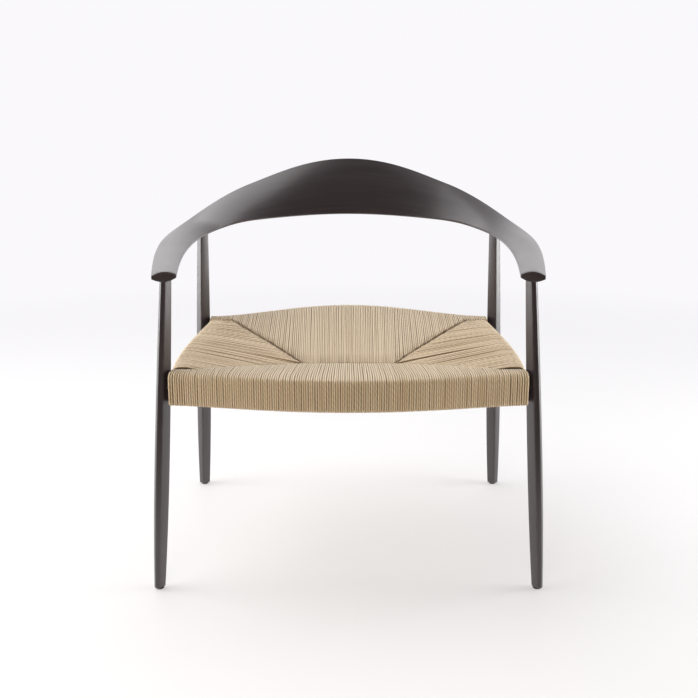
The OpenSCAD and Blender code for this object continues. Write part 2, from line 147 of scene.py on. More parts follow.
def ring_faces(rings: int, count: int) -> list[tuple[int, ...]]:
    """Faces of a tube through equal rings, with a fan of triangles on each end.

    The two fan centres are the last two vertices. Rings run anticlockwise when seen along the tube.

    Args:
        rings: Number of rings.
        count: Points in each ring.
    Returns:
        Vertex numbers of each face.
    """
    first, last = rings * count, rings * count + 1
    faces: list[tuple[int, ...]] = []
    for i in range(rings - 1):
        for j in range(count):
            k = (j + 1) % count
            faces.append((i * count + j, i * count + k, (i + 1) * count + k, (i + 1) * count + j))
    for j in range(count):
        k = (j + 1) % count
        faces.append((first, k, j))
        faces.append((last, (rings - 1) * count + j, (rings - 1) * count + k))
    return faces


def tube_from_rings(
    name: str, rings: Sequence[np.ndarray], grain: Sequence[np.ndarray], wear: Sequence[np.ndarray]
) -> Piece:
    """Makes one closed solid through equal rings, with its grain and edge attributes.

    Args:
        name: Name of the object.
        rings: Points of each ring.
        grain: Grain coordinates of each ring's points.
        wear: How near an arris each point lies, from 0 to 1.
    Returns:
        The new object.
    """
    points = np.vstack(list(rings) + [rings[0].mean(0), rings[-1].mean(0)])
    coords = np.vstack(list(grain) + [grain[0].mean(0), grain[-1].mean(0)])
    edges = np.concatenate(list(wear) + [np.zeros(2)])
    piece = new_mesh_object(name, points, ring_faces(len(rings), len(rings[0])))
    add_point_vectors(piece, "grain", coords)
    add_point_values(piece, "wear", edges)
    return piece


def mark_sharp_edges(piece: Piece, degrees: float) -> None:
    """Keeps edges crisp where two faces meet at more than an angle.

    Args:
        piece: Mesh object to mark.
        degrees: Smallest angle between faces that counts as sharp.
    """
    piece.data.set_sharp_from_angle(angle=math.radians(degrees))


def finish_piece(piece: Piece, slot: str, material: Material, *nodes: str) -> None:
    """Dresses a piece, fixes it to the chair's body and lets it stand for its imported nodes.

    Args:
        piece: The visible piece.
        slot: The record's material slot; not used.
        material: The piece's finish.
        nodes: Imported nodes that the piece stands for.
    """
    if not piece.data.materials:
        piece.data.materials.append(material)
    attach(piece, BODY)
    if nodes:
        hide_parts(*nodes)
    log.info("%s: %d faces", piece.name, len(piece.data.polygons))


def through_five(values: Sequence[float], t: float) -> float:
    """Smooth value through five evenly spaced values, level at t = 1.

    Args:
        values: The five values.
        t: Place between 0 and 1.
    Returns:
        The value at t.
    """
    k = min(3, int(t * 4))
    f = t * 4 - k
    a = 2 * values[0] - values[1] if k == 0 else values[k - 1]
    b, c = values[k], values[k + 1]
    d = values[3] if k == 3 else values[k + 2]
    return 0.5 * (2 * b + (c - a) * f + (2 * a - 5 * b + 4 * c - d) * f**2 + (3 * b - a - 3 * c + d) * f**3)


# ---------------------------------------------------------------- shader helpers


def new_group(
    name: str, inputs: dict[str, tuple[str, object]], outputs: dict[str, str]
) -> tuple[Tree, Node, Node]:
    """Starts a shader node group.

    Args:
        name: Name of the group.
        inputs: Socket type and default of each named input.
        outputs: Socket type of each named output.
    Returns:
        The tree with its input and output nodes.
    """
    tree = bpy.data.node_groups.new(name, "ShaderNodeTree")
    for label, (kind, default) in inputs.items():
        socket = tree.interface.new_socket(label, in_out="INPUT", socket_type=kind)
        if default is not None:
            socket.default_value = default
    for label, kind in outputs.items():
        tree.interface.new_socket(label, in_out="OUTPUT", socket_type=kind)
    return tree, tree.nodes.new("NodeGroupInput"), tree.nodes.new("NodeGroupOutput")


def add_node(tree: Tree, kind: str, inputs: dict[str | int, object], **settings: object) -> Node:
    """Adds a node, with its settings and its inputs.

    Args:
        tree: Tree to add it to.
        kind: Blender's name of the node type.
        inputs: Number, vector or socket for each named or numbered input.
        settings: Properties of the node, set before its inputs.
    Returns:
        The node.
    """
    node = tree.nodes.new(kind)
    for label, value in settings.items():
        setattr(node, label, value)
    for label, value in inputs.items():
        if isinstance(value, Socket):
            tree.links.new(value, node.inputs[label])
        else:
            node.inputs[label].default_value = value
    return node


def maths(tree: Tree, operation: str, *values: object) -> Socket:
    """Adds a Math node.

    Args:
        tree: Tree to add it to.
        operation: Blender's name of the operation.
        values: Numbers or sockets for its inputs.
    Returns:
        The result's socket.
    """
    return add_node(tree, "ShaderNodeMath", dict(enumerate(values)), operation=operation).outputs[0]


def times_plus(tree: Tree, value: Socket, factor: object, offset: object) -> Socket:
    """Multiplies a value and then adds to it.

    Args:
        tree: Tree to add the nodes to.
        value: The value.
        factor: Number or socket to multiply by.
        offset: Number or socket to add.
    Returns:
        The result's socket.
    """
    return maths(tree, "ADD", maths(tree, "MULTIPLY", value, factor), offset)


def noise(tree: Tree, vector: Socket, scale: float, detail: float, rough: float = 0.5) -> Socket:
    """Adds a Noise Texture.

    Args:
        tree: Tree to add it to.
        vector: Coordinates that it reads.
        scale: Scale of the noise.
        detail: Octaves of the noise.
        rough: Strength of the finer octaves.
    Returns:
        The noise value's socket.
    """
    inputs = {"Vector": vector, "Scale": scale, "Detail": detail, "Roughness": rough}
    return add_node(tree, "ShaderNodeTexNoise", inputs).outputs["Fac"]


def stretched(tree: Tree, vector: Socket, scale: Triple) -> Socket:
    """Scales coordinates differently along each axis.

    Args:
        tree: Tree to add the node to.
        vector: Coordinates to scale.
        scale: Factor for each axis.
    Returns:
        The scaled coordinates' socket.
    """
    return add_node(tree, "ShaderNodeMapping", {"Vector": vector, "Scale": scale}).outputs["Vector"]


def ramp(tree: Tree, value: Socket, low: float, high: float) -> Socket:
    """Turns a range of a value into 0 to 1, clamped.

    Args:
        tree: Tree to add the node to.
        value: The value.
        low: Value that becomes 0.
        high: Value that becomes 1.
    Returns:
        The result's socket.
    """
    inputs = {"Value": value, "From Min": low, "From Max": high}
    return add_node(tree, "ShaderNodeMapRange", inputs).outputs["Result"]


def mix_colours(tree: Tree, factor: object, first: object, second: object) -> Socket:
    """Adds a colour Mix node.

    Args:
        tree: Tree to add it to.
        factor: Number or socket of the share of the second colour.
        first: Colour or socket.
        second: Colour or socket.
    Returns:
        The result's socket.
    """
    return add_node(tree, "ShaderNodeMix", {0: factor, 6: first, 7: second}, data_type="RGBA").outputs[2]


def place_on_object(tree: Tree) -> Socket:
    """Coordinates of the shaded point in its object's own frame.

    Args:
        tree: Tree to add the node to.
    Returns:
        The coordinates' socket.
    """
    return tree.nodes.new("ShaderNodeTexCoord").outputs["Object"]


def parts_of(tree: Tree, vector: Socket) -> bpy.types.NodeOutputs:
    """Splits a vector.

    Args:
        tree: Tree to add the node to.
        vector: The vector.
    Returns:
        Its X, Y and Z.
    """
    return add_node(tree, "ShaderNodeSeparateXYZ", {0: vector}).outputs


def colour(red: float, green: float, blue: float) -> tuple[float, float, float, float]:
    """Opaque linear colour.

    Args:
        red: Red from 0 to 1.
        green: Green from 0 to 1.
        blue: Blue from 0 to 1.
    Returns:
        The colour with its alpha.
    """
    return (red, green, blue, 1.0)


def grain_group() -> Tree:
    """Wood grain with long streaks, growth rings and open pores.

    Its vector runs along the grain in x, with the section in y and z.

    Returns:
        The node group, with outputs Streaks, Rings, Pores and Height.
    """
    tree, inlet, outlet = new_group(
        "wood_grain",
        {"Vector": ("NodeSocketVector", None), "Pore Depth": ("NodeSocketFloat", 0.5)},
        {name: "NodeSocketFloat" for name in ("Streaks", "Rings", "Pores", "Height")},
    )
    at = inlet.outputs["Vector"]
    streaks = noise(tree, stretched(tree, at, (5.0, 260.0, 260.0)), 1.0, 5.0, 0.62)
    drift = noise(tree, stretched(tree, at, (3.0, 14.0, 14.0)), 1.0, 2.0)
    split = parts_of(tree, stretched(tree, at, (1.5, 210.0, 120.0)))
    wander = maths(tree, "MULTIPLY", drift, 26.0)
    radius = maths(tree, "ADD", maths(tree, "ADD", split["Y"], split["Z"]), wander)
    rings = ramp(tree, maths(tree, "SINE", radius), -0.4, 1.0)
    pores = ramp(tree, noise(tree, stretched(tree, at, (70.0, 1500.0, 1500.0)), 1.0, 2.0, 0.5), 0.36, 0.46)
    depth = maths(tree, "MULTIPLY", pores, inlet.outputs["Pore Depth"])
    height = times_plus(tree, streaks, 0.35, depth)
    for label, value in (("Streaks", streaks), ("Rings", rings), ("Pores", pores), ("Height", height)):
        tree.links.new(value, outlet.inputs[label])
    return tree


def wear_group() -> Tree:
    """Soft uneven rubbing of arrises.

    Returns:
        The node group, with inputs Vector, Edge and Amount and the output Mask.
    """
    tree, inlet, outlet = new_group(
        "edge_rub",
        {
            "Vector": ("NodeSocketVector", None),
            "Edge": ("NodeSocketFloat", 0.0),
            "Amount": ("NodeSocketFloat", 0.5),
        },
        {"Mask": "NodeSocketFloat"},
    )
    patches = noise(tree, stretched(tree, inlet.outputs["Vector"], (40.0, 90.0, 90.0)), 1.0, 4.0, 0.6)
    uneven = ramp(tree, patches, 0.35, 0.75)
    rubbed = maths(tree, "MULTIPLY", inlet.outputs["Edge"], uneven)
    tree.links.new(maths(tree, "MULTIPLY", rubbed, inlet.outputs["Amount"]), outlet.inputs["Mask"])
    return tree


GROUPS: dict[str, Tree] = {}


def use_group(tree: Tree, name: str, maker: Callable[[], Tree], inputs: dict[str, object]) -> Node:
    """Places a shared node group, building it the first time.

    Args:
        tree: Material tree to place it in.
        name: Key of the shared group.
        maker: Function that builds it.
        inputs: Number or socket for each named input.
    Returns:
        The group node.
    """
    if name not in GROUPS:
        GROUPS[name] = maker()
    return add_node(tree, "ShaderNodeGroup", inputs, node_tree=GROUPS[name])


def new_material(name: str) -> tuple[Material, Tree, Node]:
    """Starts a material with one Principled BSDF.

    Args:
        name: Name of the material.
    Returns:
        The material, its tree and the shader.
    """
    material = bpy.data.materials.new(name)
    material.use_nodes = True
    tree = material.node_tree
    return material, tree, tree.nodes["Principled BSDF"]


def attribute(tree: Tree, name: str, output: str) -> Socket:
    """Adds an Attribute node.

    Args:
        tree: Tree to add it to.
        name: Name of the geometry attribute.
        output: Output to read, Vector or Fac.
    Returns:
        The output's socket.
    """
    return add_node(tree, "ShaderNodeAttribute", {}, attribute_name=name).outputs[output]


def add_bump(tree: Tree, shader: Node, height: Socket, strength: float, distance: float) -> None:
    """Feeds a height into a shader's normal.

    Args:
        tree: Material tree.
        shader: The Principled BSDF.
        height: Height value's socket.
        strength: Strength of the bump.
        distance: Height of the bump, in metres.
    """
    inputs = {"Strength": strength, "Distance": distance, "Height": height}
    bump = add_node(tree, "ShaderNodeBump", inputs)
    tree.links.new(bump.outputs["Normal"], shader.inputs["Normal"])


@dataclass(frozen=True)
class StainedWood:
    """Open-pored wood under a dark stain and a satin lacquer."""

    name: str = "stained_wood"
    dark: Triple = (0.020, 0.0145, 0.0170)
    light: Triple = (0.038, 0.0285, 0.0320)
    rubbed: Triple = (0.10, 0.08, 0.075)
    roughness: float = 0.42
    lacquer: float = 0.7
    lacquer_roughness: float = 0.3
    pore_depth: float = 0.6
    ring_share: float = 0.35
    cloud_share: float = 0.3
    wear: float = 0.3
    relief: float = 0.00012
    source: GrainSource = GrainSource.ALONG_PIECE

    def build(self) -> Material:
        """Makes the material.

        Returns:
            The material.
        """
        material, tree, shader = new_material(self.name)
        along = self.source is GrainSource.ALONG_PIECE
        at = attribute(tree, "grain", "Vector") if along else place_on_object(tree)
        grain = use_group(tree, "wood_grain", grain_group, {"Vector": at, "Pore Depth": self.pore_depth})
        tone = ramp(tree, grain.outputs["Streaks"], 0.32, 0.68)
        base = mix_colours(tree, tone, colour(*self.dark), colour(*self.light))
        rings = maths(tree, "MULTIPLY", grain.outputs["Rings"], self.ring_share)
        base = mix_colours(tree, rings, base, colour(*self.dark))
        clouds = ramp(tree, noise(tree, stretched(tree, at, (7.0, 22.0, 22.0)), 1.0, 3.0), 0.3, 0.7)
        clouded = maths(tree, "MULTIPLY", clouds, self.cloud_share)
        base = mix_colours(tree, clouded, base, colour(*self.light))
        if along:
            edge = attribute(tree, "wear", "Fac")
            rub = use_group(tree, "edge_rub", wear_group, {"Vector": at, "Edge": edge, "Amount": self.wear})
            base = mix_colours(tree, rub.outputs["Mask"], base, colour(*self.rubbed))
        tree.links.new(base, shader.inputs["Base Color"])
        smear = ramp(tree, noise(tree, stretched(tree, at, (9.0, 30.0, 30.0)), 1.0, 4.0, 0.6), 0.2, 0.8)
        rough = times_plus(tree, smear, 0.1, self.roughness - 0.05)
        rough = maths(tree, "SUBTRACT", rough, maths(tree, "MULTIPLY", grain.outputs["Pores"], 0.03))
        tree.links.new(rough, shader.inputs["Roughness"])
        shader.inputs["IOR"].default_value = 1.5
        shader.inputs["Coat Weight"].default_value = self.lacquer
        shader.inputs["Coat Roughness"].default_value = self.lacquer_roughness
        shader.inputs["Coat IOR"].default_value = 1.5
        add_bump(tree, shader, grain.outputs["Height"], 0.35, self.relief)
        return material


@dataclass(frozen=True)
class PlainWood:
    """Bare pale wood of dowels."""

    name: str = "dowel_wood"
    pale: Triple = (0.58, 0.42, 0.26)
    deep: Triple = (0.42, 0.28, 0.16)
    roughness: float = 0.6

    def build(self) -> Material:
        """Makes the material.

        Returns:
            The material.
        """
        material, tree, shader = new_material(self.name)
        grain = use_group(tree, "wood_grain", grain_group, {"Vector": place_on_object(tree)})
        base = mix_colours(tree, grain.outputs["Streaks"], colour(*self.deep), colour(*self.pale))
        tree.links.new(base, shader.inputs["Base Color"])
        shader.inputs["Roughness"].default_value = self.roughness
        add_bump(tree, shader, grain.outputs["Height"], 0.3, 0.0001)
        return material


@dataclass(frozen=True)
class PaperCord:
    """Twisted kraft paper cord, lightly waxed, with painted shade in ply grooves, between touching cords
    and at seams.
    """

    name: str = "paper_cord"
    pale: Triple = (0.82, 0.69, 0.51)
    tan: Triple = (0.66, 0.52, 0.345)
    # darker tint for the paper's fibres, also painted shade in the grooves between plies and on flanks
    # between touching cords
    fibre_and_gap_shade: Triple = (0.26, 0.165, 0.08)
    # painted shadow on turn ends that dive into a seam
    seam: Triple = (0.16, 0.10, 0.055)
    twist: float = 0.0105
    plies: int = 3
    fibre_share: float = 0.18
    # the shares below set painted shade in ply grooves, on flanks between cords and at the seams
    ply_groove_shade_share: float = 0.26
    flank_shade_share: float = 0.9
    seam_shadow_share: float = 0.85
    relief: float = 0.0004

    def twisted(self, tree: Tree, run: Socket) -> Socket:
        """Height of the twisted plies.

        Args:
            tree: Material tree.
            run: Distance along the cord.
        Returns:
            0 in the grooves between plies and 1 on top of them.
        """
        around = parts_of(tree, attribute(tree, "around", "Vector"))
        turn = maths(tree, "ARCTAN2", around["Y"], around["X"])
        phase = maths(tree, "MULTIPLY", run, 2 * math.pi / self.twist)
        return ramp(tree, maths(tree, "SINE", times_plus(tree, turn, float(self.plies), phase)), -1.0, 0.1)

    def paper(self, tree: Tree, run: Socket, place: Socket) -> Socket:
        """Colour of the bare paper, uneven from turn to turn and along each turn.

        Args:
            tree: Material tree.
            run: Distance along the cord.
            place: Object coordinates.
        Returns:
            The colour's socket.
        """
        tone = attribute(tree, "tone", "Fac")
        patch = noise(tree, stretched(tree, place, (11.0, 11.0, 11.0)), 1.0, 3.0, 0.6)
        scaled = {"X": maths(tree, "MULTIPLY", run, 24.0), "Y": maths(tree, "MULTIPLY", tone, 91.0)}
        streak = noise(tree, add_node(tree, "ShaderNodeCombineXYZ", scaled).outputs[0], 1.0, 3.0, 0.6)
        mixed = times_plus(tree, tone, 0.5, maths(tree, "MULTIPLY", streak, 0.6))
        mixed = times_plus(tree, patch, 0.25, mixed)
        return mix_colours(tree, ramp(tree, mixed, 0.25, 1.05), colour(*self.pale), colour(*self.tan))

    def build(self) -> Material:
        """Makes the material.

        Returns:
            The material.
        """
        material, tree, shader = new_material(self.name)
        run, place = attribute(tree, "run", "Fac"), place_on_object(tree)
        ply = self.twisted(tree, run)
        fibre = noise(tree, stretched(tree, place, (900.0, 900.0, 900.0)), 1.0, 3.0, 0.6)
        base = self.paper(tree, run, place)
        for mask, share, tint in (
            (ramp(tree, fibre, 0.35, 0.7), self.fibre_share, self.fibre_and_gap_shade),
            # painted shade in the grooves between plies
            (maths(tree, "SUBTRACT", 1.0, ply), self.ply_groove_shade_share, self.fibre_and_gap_shade),
            # painted shade on flanks that face the neighbouring cords
            (ramp(tree, attribute(tree, "flank_shade", "Fac"), 0.45, 0.92), self.flank_shade_share, self.fibre_and_gap_shade),
            # painted shadow on turn ends that dive into a seam
            (attribute(tree, "shade", "Fac"), self.seam_shadow_share, self.seam),
        ):
            base = mix_colours(tree, maths(tree, "MULTIPLY", mask, share), base, colour(*tint))
        tree.links.new(base, shader.inputs["Base Color"])
        tree.links.new(times_plus(tree, fibre, 0.2, 0.5), shader.inputs["Roughness"])
        shader.inputs["Sheen Weight"].default_value = 0.12
        add_bump(tree, shader, times_plus(tree, fibre, 0.15, ply), 0.8, self.relief)
        return material


@dataclass(frozen=True)
class PackingCard:
    """Rough brown card folded between the cord layers."""

    name: str = "packing_card"
    brown: Triple = (0.20, 0.13, 0.07)
    pale: Triple = (0.32, 0.22, 0.13)
    roughness: float = 0.9

    def build(self) -> Material:
        """Makes the material.

        Returns:
            The material.
        """
        material, tree, shader = new_material(self.name)
        flecks = noise(tree, place_on_object(tree), 420.0, 5.0, 0.65)
        base = mix_colours(tree, ramp(tree, flecks, 0.3, 0.7), colour(*self.brown), colour(*self.pale))
        tree.links.new(base, shader.inputs["Base Color"])
        shader.inputs["Roughness"].default_value = self.roughness
        add_bump(tree, shader, flecks, 0.5, 0.0004)
        return material


@dataclass(frozen=True)
class GlidePlastic:
    """Black moulded nylon with a fine sparked texture."""

    name: str = "glide_plastic"
    black: Triple = (0.018, 0.018, 0.019)
    worn: Triple = (0.06, 0.06, 0.06)

    def build(self) -> Material:
        """Makes the material.

        Returns:
            The material.
        """
        material, tree, shader = new_material(self.name)
        at = place_on_object(tree)
        specks = noise(tree, at, 1400.0, 3.0, 0.6)
        scuffs = ramp(tree, noise(tree, at, 160.0, 4.0, 0.7), 0.55, 0.75)
        scuffed = maths(tree, "MULTIPLY", scuffs, 0.5)
        base = mix_colours(tree, scuffed, colour(*self.black), colour(*self.worn))
        tree.links.new(base, shader.inputs["Base Color"])
        tree.links.new(times_plus(tree, scuffs, 0.2, 0.45), shader.inputs["Roughness"])
        add_bump(tree, shader, specks, 0.3, 0.0001)
        return material


@dataclass(frozen=True)
class TackSteel:
    """Plain drawn steel of small tacks."""

    name: str = "tack_steel"
    grey: Triple = (0.55, 0.55, 0.57)
    dull: Triple = (0.30, 0.29, 0.28)

    def build(self) -> Material:
        """Makes the material.

        Returns:
            The material.
        """
        material, tree, shader = new_material(self.name)
        film = ramp(tree, noise(tree, place_on_object(tree), 300.0, 4.0, 0.6), 0.35, 0.7)
        base = mix_colours(tree, film, colour(*self.grey), colour(*self.dull))
        tree.links.new(base, shader.inputs["Base Color"])
        tree.links.new(times_plus(tree, film, 0.3, 0.25), shader.inputs["Roughness"])
        shader.inputs["Metallic"].default_value = 1.0
        return material


# ---------------------------------------------------------------- top rail


@dataclass
class TopRail:
    """Horseshoe of two arms and a backrest board, one lens-shaped section that widens and turns upright."""

    front_y: float
    arm_x: float = 0.297
    overhang: float = 0.012
    bulge: float = 0.082
    back_depth: float = 0.600
    arm_height: float = 0.553
    back_rise: float = 0.094
    rises: tuple[float, ...] = (0.0, 0.05, 0.22, 0.67, 1.0)
    widths: tuple[float, ...] = (0.040, 0.057, 0.071, 0.101, 0.123)
    turns: tuple[float, ...] = (-0.04, 0.03, 0.15, 0.61, 1.0)
    full_turn: float = 70.0
    thickness: float = 0.017
    edge: float = 0.005
    splice_at: float = 0.64
    arris: float = 0.0014
    end_ease: float = 0.0009
    steps: int = 150

    def plan(self) -> np.ndarray:
        """Control points of the middle line in plan.

        Returns:
            Four rows of x and local y.
        """
        return np.array([
            (self.arm_x, -self.overhang),
            (self.arm_x + self.bulge, self.back_depth * 0.857),
            (self.arm_x + self.bulge * 0.6, self.back_depth),
            (0.0, self.back_depth),
        ])

    def middle(self, t: float) -> np.ndarray:
        """Point on the middle line.

        Args:
            t: 0 at the arm end, 1 in the middle of the back.
        Returns:
            Its place.
        """
        p = self.plan()
        xy = (1 - t) ** 3 * p[0] + 3 * t * (1 - t) ** 2 * p[1] + 3 * t * t * (1 - t) * p[2] + t**3 * p[3]
        z = self.arm_height + self.back_rise * through_five(self.rises, t)
        return np.array([xy[0], xy[1] + self.front_y, z])

    def outwards(self, t: float) -> np.ndarray:
        """Outward direction in plan.

        Args:
            t: Place along the half rail.
        Returns:
            The direction, of length 1.
        """
        p = self.plan()
        d = 3 * (1 - t) ** 2 * (p[1] - p[0]) + 6 * t * (1 - t) * (p[2] - p[1]) + 3 * t * t * (p[3] - p[2])
        n = np.array([d[1], -d[0], 0.0])
        return n / np.linalg.norm(n)

    def half_thickness(self, across: float) -> float:
        """Half thickness of the board.

        Args:
            across: -1 on the inner edge to 1 on the outer edge.
        Returns:
            Half the thickness there.
        """
        return self.edge / 2 + (self.thickness - self.edge) / 2 * (1 - across * across)

    def outline(self, half: float) -> tuple[np.ndarray, np.ndarray]:
        """Section outline with eased arrises.

        Args:
            half: Half the width of the board.
        Returns:
            Points (across, up) in metres, and how near an arris each one lies.
        """
        shares = np.sin(np.linspace(-0.5, 0.5, 27) * math.pi)
        shares = shares * (1 - self.arris / half)
        top = [(a * half, self.half_thickness(a)) for a in shares[::-1]]
        low = [(a * half, -self.half_thickness(a)) for a in shares]
        points: list[tuple[float, float]] = []
        near: list[float] = []

        def ease(corner: tuple[float, float], start: tuple[float, float], end: tuple[float, float]) -> None:
            """Adds a rounded arris between two points.

            Args:
                corner: The sharp corner.
                start: Where the rounding starts.
                end: Where it ends.
            """
            first, bend, last = np.array(start), np.array(corner), np.array(end)
            for f in (0.25, 0.5, 0.75):
                a = (1 - f) ** 2 * first + 2 * f * (1 - f) * bend + f * f * last
                points.append((float(a[0]), float(a[1])))
                near.append(1.0)

        for side, edge_sign in ((top, -1), (low, 1)):
            for k, point in enumerate(side):
                points.append(point)
                near.append(max(0.0, 1 - min(k, len(side) - 1 - k) / 2.5) * 0.8)
            corner = (edge_sign * half, side[-1][1])
            flat = (edge_sign * half, side[-1][1] - math.copysign(self.arris, side[-1][1]))
            ease(corner, side[-1], flat)
            points.append(flat)
            near.append(0.7)
            other = (edge_sign * half, -flat[1])
            points.append(other)
            near.append(0.7)
            ease((edge_sign * half, -side[-1][1]), other, (side[-1][0], -side[-1][1]))
        return np.array(points), np.array(near)

    def ring(self, t: float, run: float, shrink: float = 0.0) -> Section:
        """Section of the rail at t.

        Args:
            t: Place along the half rail.
            run: Distance along the rail, for the grain.
            shrink: How far the outline is drawn in, to ease an end.
        Returns:
            Points, grain coordinates and edge values.
        """
        half = through_five(self.widths, t) / 2
        flat, near = self.outline(half)
        turn = math.radians(self.full_turn * through_five(self.turns, t))
        out, up = self.outwards(t), np.array([0.0, 0.0, 1.0])
        across = math.cos(turn) * out + math.sin(turn) * up
        rise = math.cos(turn) * up - math.sin(turn) * out
        used = flat * np.array([1 - shrink / half, 1 - 2 * shrink / self.thickness])
        points = self.middle(t) + used[:, :1] * across + used[:, 1:] * rise
        grain = np.column_stack([np.full(len(flat), run), flat[:, 0], flat[:, 1]])
        return points, grain, near

    def half_rings(self, start: float, end: float, run: float) -> list[Section]:
        """Sections along a stretch of the right half.

        Args:
            start: First place.
            end: Last place.
            run: Distance along the rail at the first section.
        Returns:
            The sections in order.
        """
        places = np.linspace(start, end, self.steps + 1)
        rings = []
        before = self.middle(places[0])
        for t in places:
            here = self.middle(t)
            run += float(np.linalg.norm(here - before))
            before = here
            rings.append(self.ring(t, run))
        return rings

    def build_arm(self, side: Side) -> Piece:
        """Makes one arm, from its eased front end to the splice.

        Args:
            side: Which arm.
        Returns:
            The arm's object.
        """
        rings = self.half_rings(0.0, self.splice_at, 0.0)
        ahead = self.middle(0.0) - self.middle(0.002)
        ahead /= np.linalg.norm(ahead)
        soft = self.end_ease
        eased = []
        for shrink, back in ((soft, 0.0), (soft * 0.3, soft * 0.3), (0.0, soft)):
            points, grain, near = self.ring(0.0, -back, shrink)
            eased.append((points - ahead * back, grain, np.maximum(near, 0.8)))
        return self.join(f"{side.name.lower()}_arm_board", eased + rings[2:], side)

    def build_back(self) -> Piece:
        """Makes the backrest, from splice to splice.

        Returns:
            The backrest's object.
        """
        right = self.half_rings(self.splice_at, 1.0, 0.35)
        flip = np.array([-1.0, 1.0, 1.0])
        last = right[-1][1][0, 0]
        left = [
            (points * flip, grain * np.array([-1.0, 1.0, 1.0]) + np.array([2 * last, 0.0, 0.0]), near)
            for points, grain, near in right[-2::-1]
        ]
        return self.join("backrest_board", right + left, Side.RIGHT)

    def join(self, name: str, rings: list[Section], side: Side) -> Piece:
        """Joins sections into a solid on one side of the chair.

        Args:
            name: Name of the object.
            rings: Sections on the right side.
            side: Side to put it on.
        Returns:
            The solid.
        """
        flip = np.array([float(side.value), 1.0, 1.0])
        order = slice(None, None, 1 if side is Side.RIGHT else -1)
        piece = tube_from_rings(
            name,
            [(points * flip)[order] for points, _, _ in rings],
            [(grain + np.array([0.7 * side.value, 0.0, 0.0]))[order] for _, grain, _ in rings],
            [near[order] for _, _, near in rings],
        )
        mark_sharp_edges(piece, 50.0)
        return piece


# ---------------------------------------------------------------- legs


@dataclass
class Leg:
    """Tapered leg with flat faces and small arrises, on the right side of the chair."""

    name: str
    foot: tuple[float, float]
    top: Triple
    width: float
    section: tuple[tuple[float, float], ...]
    bottom: float
    taper: float = 0.74
    depth_ratio: float = 1.1
    widest_at: float = 0.42
    foot_curve: float = 2.2
    top_curve: float = 1.8
    arris: float = 0.0017
    face_bulge: float = 0.012
    foot_ease: float = 0.0012
    steps: int = 90
    into_arm: float = 0.003

    def swell(self, h: float) -> float:
        """Share of the greatest width.

        Args:
            h: Share of the leg's height.
        Returns:
            The share of the width there.
        """
        if h < self.widest_at:
            gone = ((self.widest_at - h) / self.widest_at) ** self.foot_curve
        else:
            gone = (min(1.0, (h - self.widest_at) / (1 - self.widest_at))) ** self.top_curve
        return 1 - (1 - self.taper) * gone

    def outline(self, width: float) -> tuple[np.ndarray, np.ndarray]:
        """Section outline with slightly full faces.

        Args:
            width: Width of the section.
        Returns:
            Points (outwards, backwards) and how near an arris each lies.
        """
        corners = [np.array([x * width, y * width * self.depth_ratio]) for x, y in self.section]
        count = len(corners)
        ease = self.arris * width / self.width
        points: list[np.ndarray] = []
        near: list[float] = []
        for i, here in enumerate(corners):
            before, after = corners[i - 1], corners[(i + 1) % count]
            back = (before - here) / np.linalg.norm(before - here)
            ahead = (after - here) / np.linalg.norm(after - here)
            start, end = here + back * ease, here + ahead * ease
            for f in (0.0, 0.33, 0.67, 1.0):
                points.append((1 - f) ** 2 * start + 2 * f * (1 - f) * here + f * f * end)
                near.append(1.0 if 0 < f < 1 else 0.6)
            stop = after - ahead * ease
            normal = np.array([ahead[1], -ahead[0]])
            for f in (0.25, 0.5, 0.75):
                full = 4 * f * (1 - f) * self.face_bulge * width
                points.append((1 - f) * end + f * stop + normal * full)
                near.append(0.0)
        return np.array(points), np.array(near)

    def build(self, side: Side) -> Piece:
        """Makes the leg.

        Args:
            side: Side of the chair.
        Returns:
            The leg's object.
        """
        foot = np.array([self.foot[0], self.foot[1], 0.0])
        top = np.array(self.top)
        first, past = self.bottom / top[2], 1 + self.into_arm / top[2]
        shares = np.linspace(past, first, self.steps)
        rings, grain, wear = [], [], []
        for k, h in enumerate(list(shares) + [first]):
            flat, near = self.outline(self.width * self.swell(h))
            middle = foot + (top - foot) * h
            if k >= self.steps - 1:
                near = np.maximum(near, 0.9)
            if k == self.steps - 1:
                middle = middle + np.array([0.0, 0.0, self.foot_ease])
            if k == self.steps:
                flat = flat * (1 - 2 * self.foot_ease / (self.width * self.taper))
            level = np.ones(len(flat))
            ring = np.column_stack([middle[0] + flat[:, 0], middle[1] + flat[:, 1], middle[2] * level])
            rings.append(ring * np.array([float(side.value), 1.0, 1.0]))
            run = (middle[2] + 1.3 * side.value + self.foot[1]) * level
            grain.append(np.column_stack([run, flat[:, 0], flat[:, 1]]))
            wear.append(near)
        if side is Side.LEFT:
            rings, grain, wear = ([r[::-1] for r in rows] for rows in (rings, grain, wear))
        piece = tube_from_rings(self.name, list(rings), list(grain), list(wear))
        mark_sharp_edges(piece, 40.0)
        return piece


# ---------------------------------------------------------------- cord seat


@dataclass
class Strand:
    """Middle line of one turn of cord, how much painted seam shadow each point carries and the direction
    beside the turn.
    """

    points: np.ndarray
    shade: list[float]
    beside: Triple
    tone: float


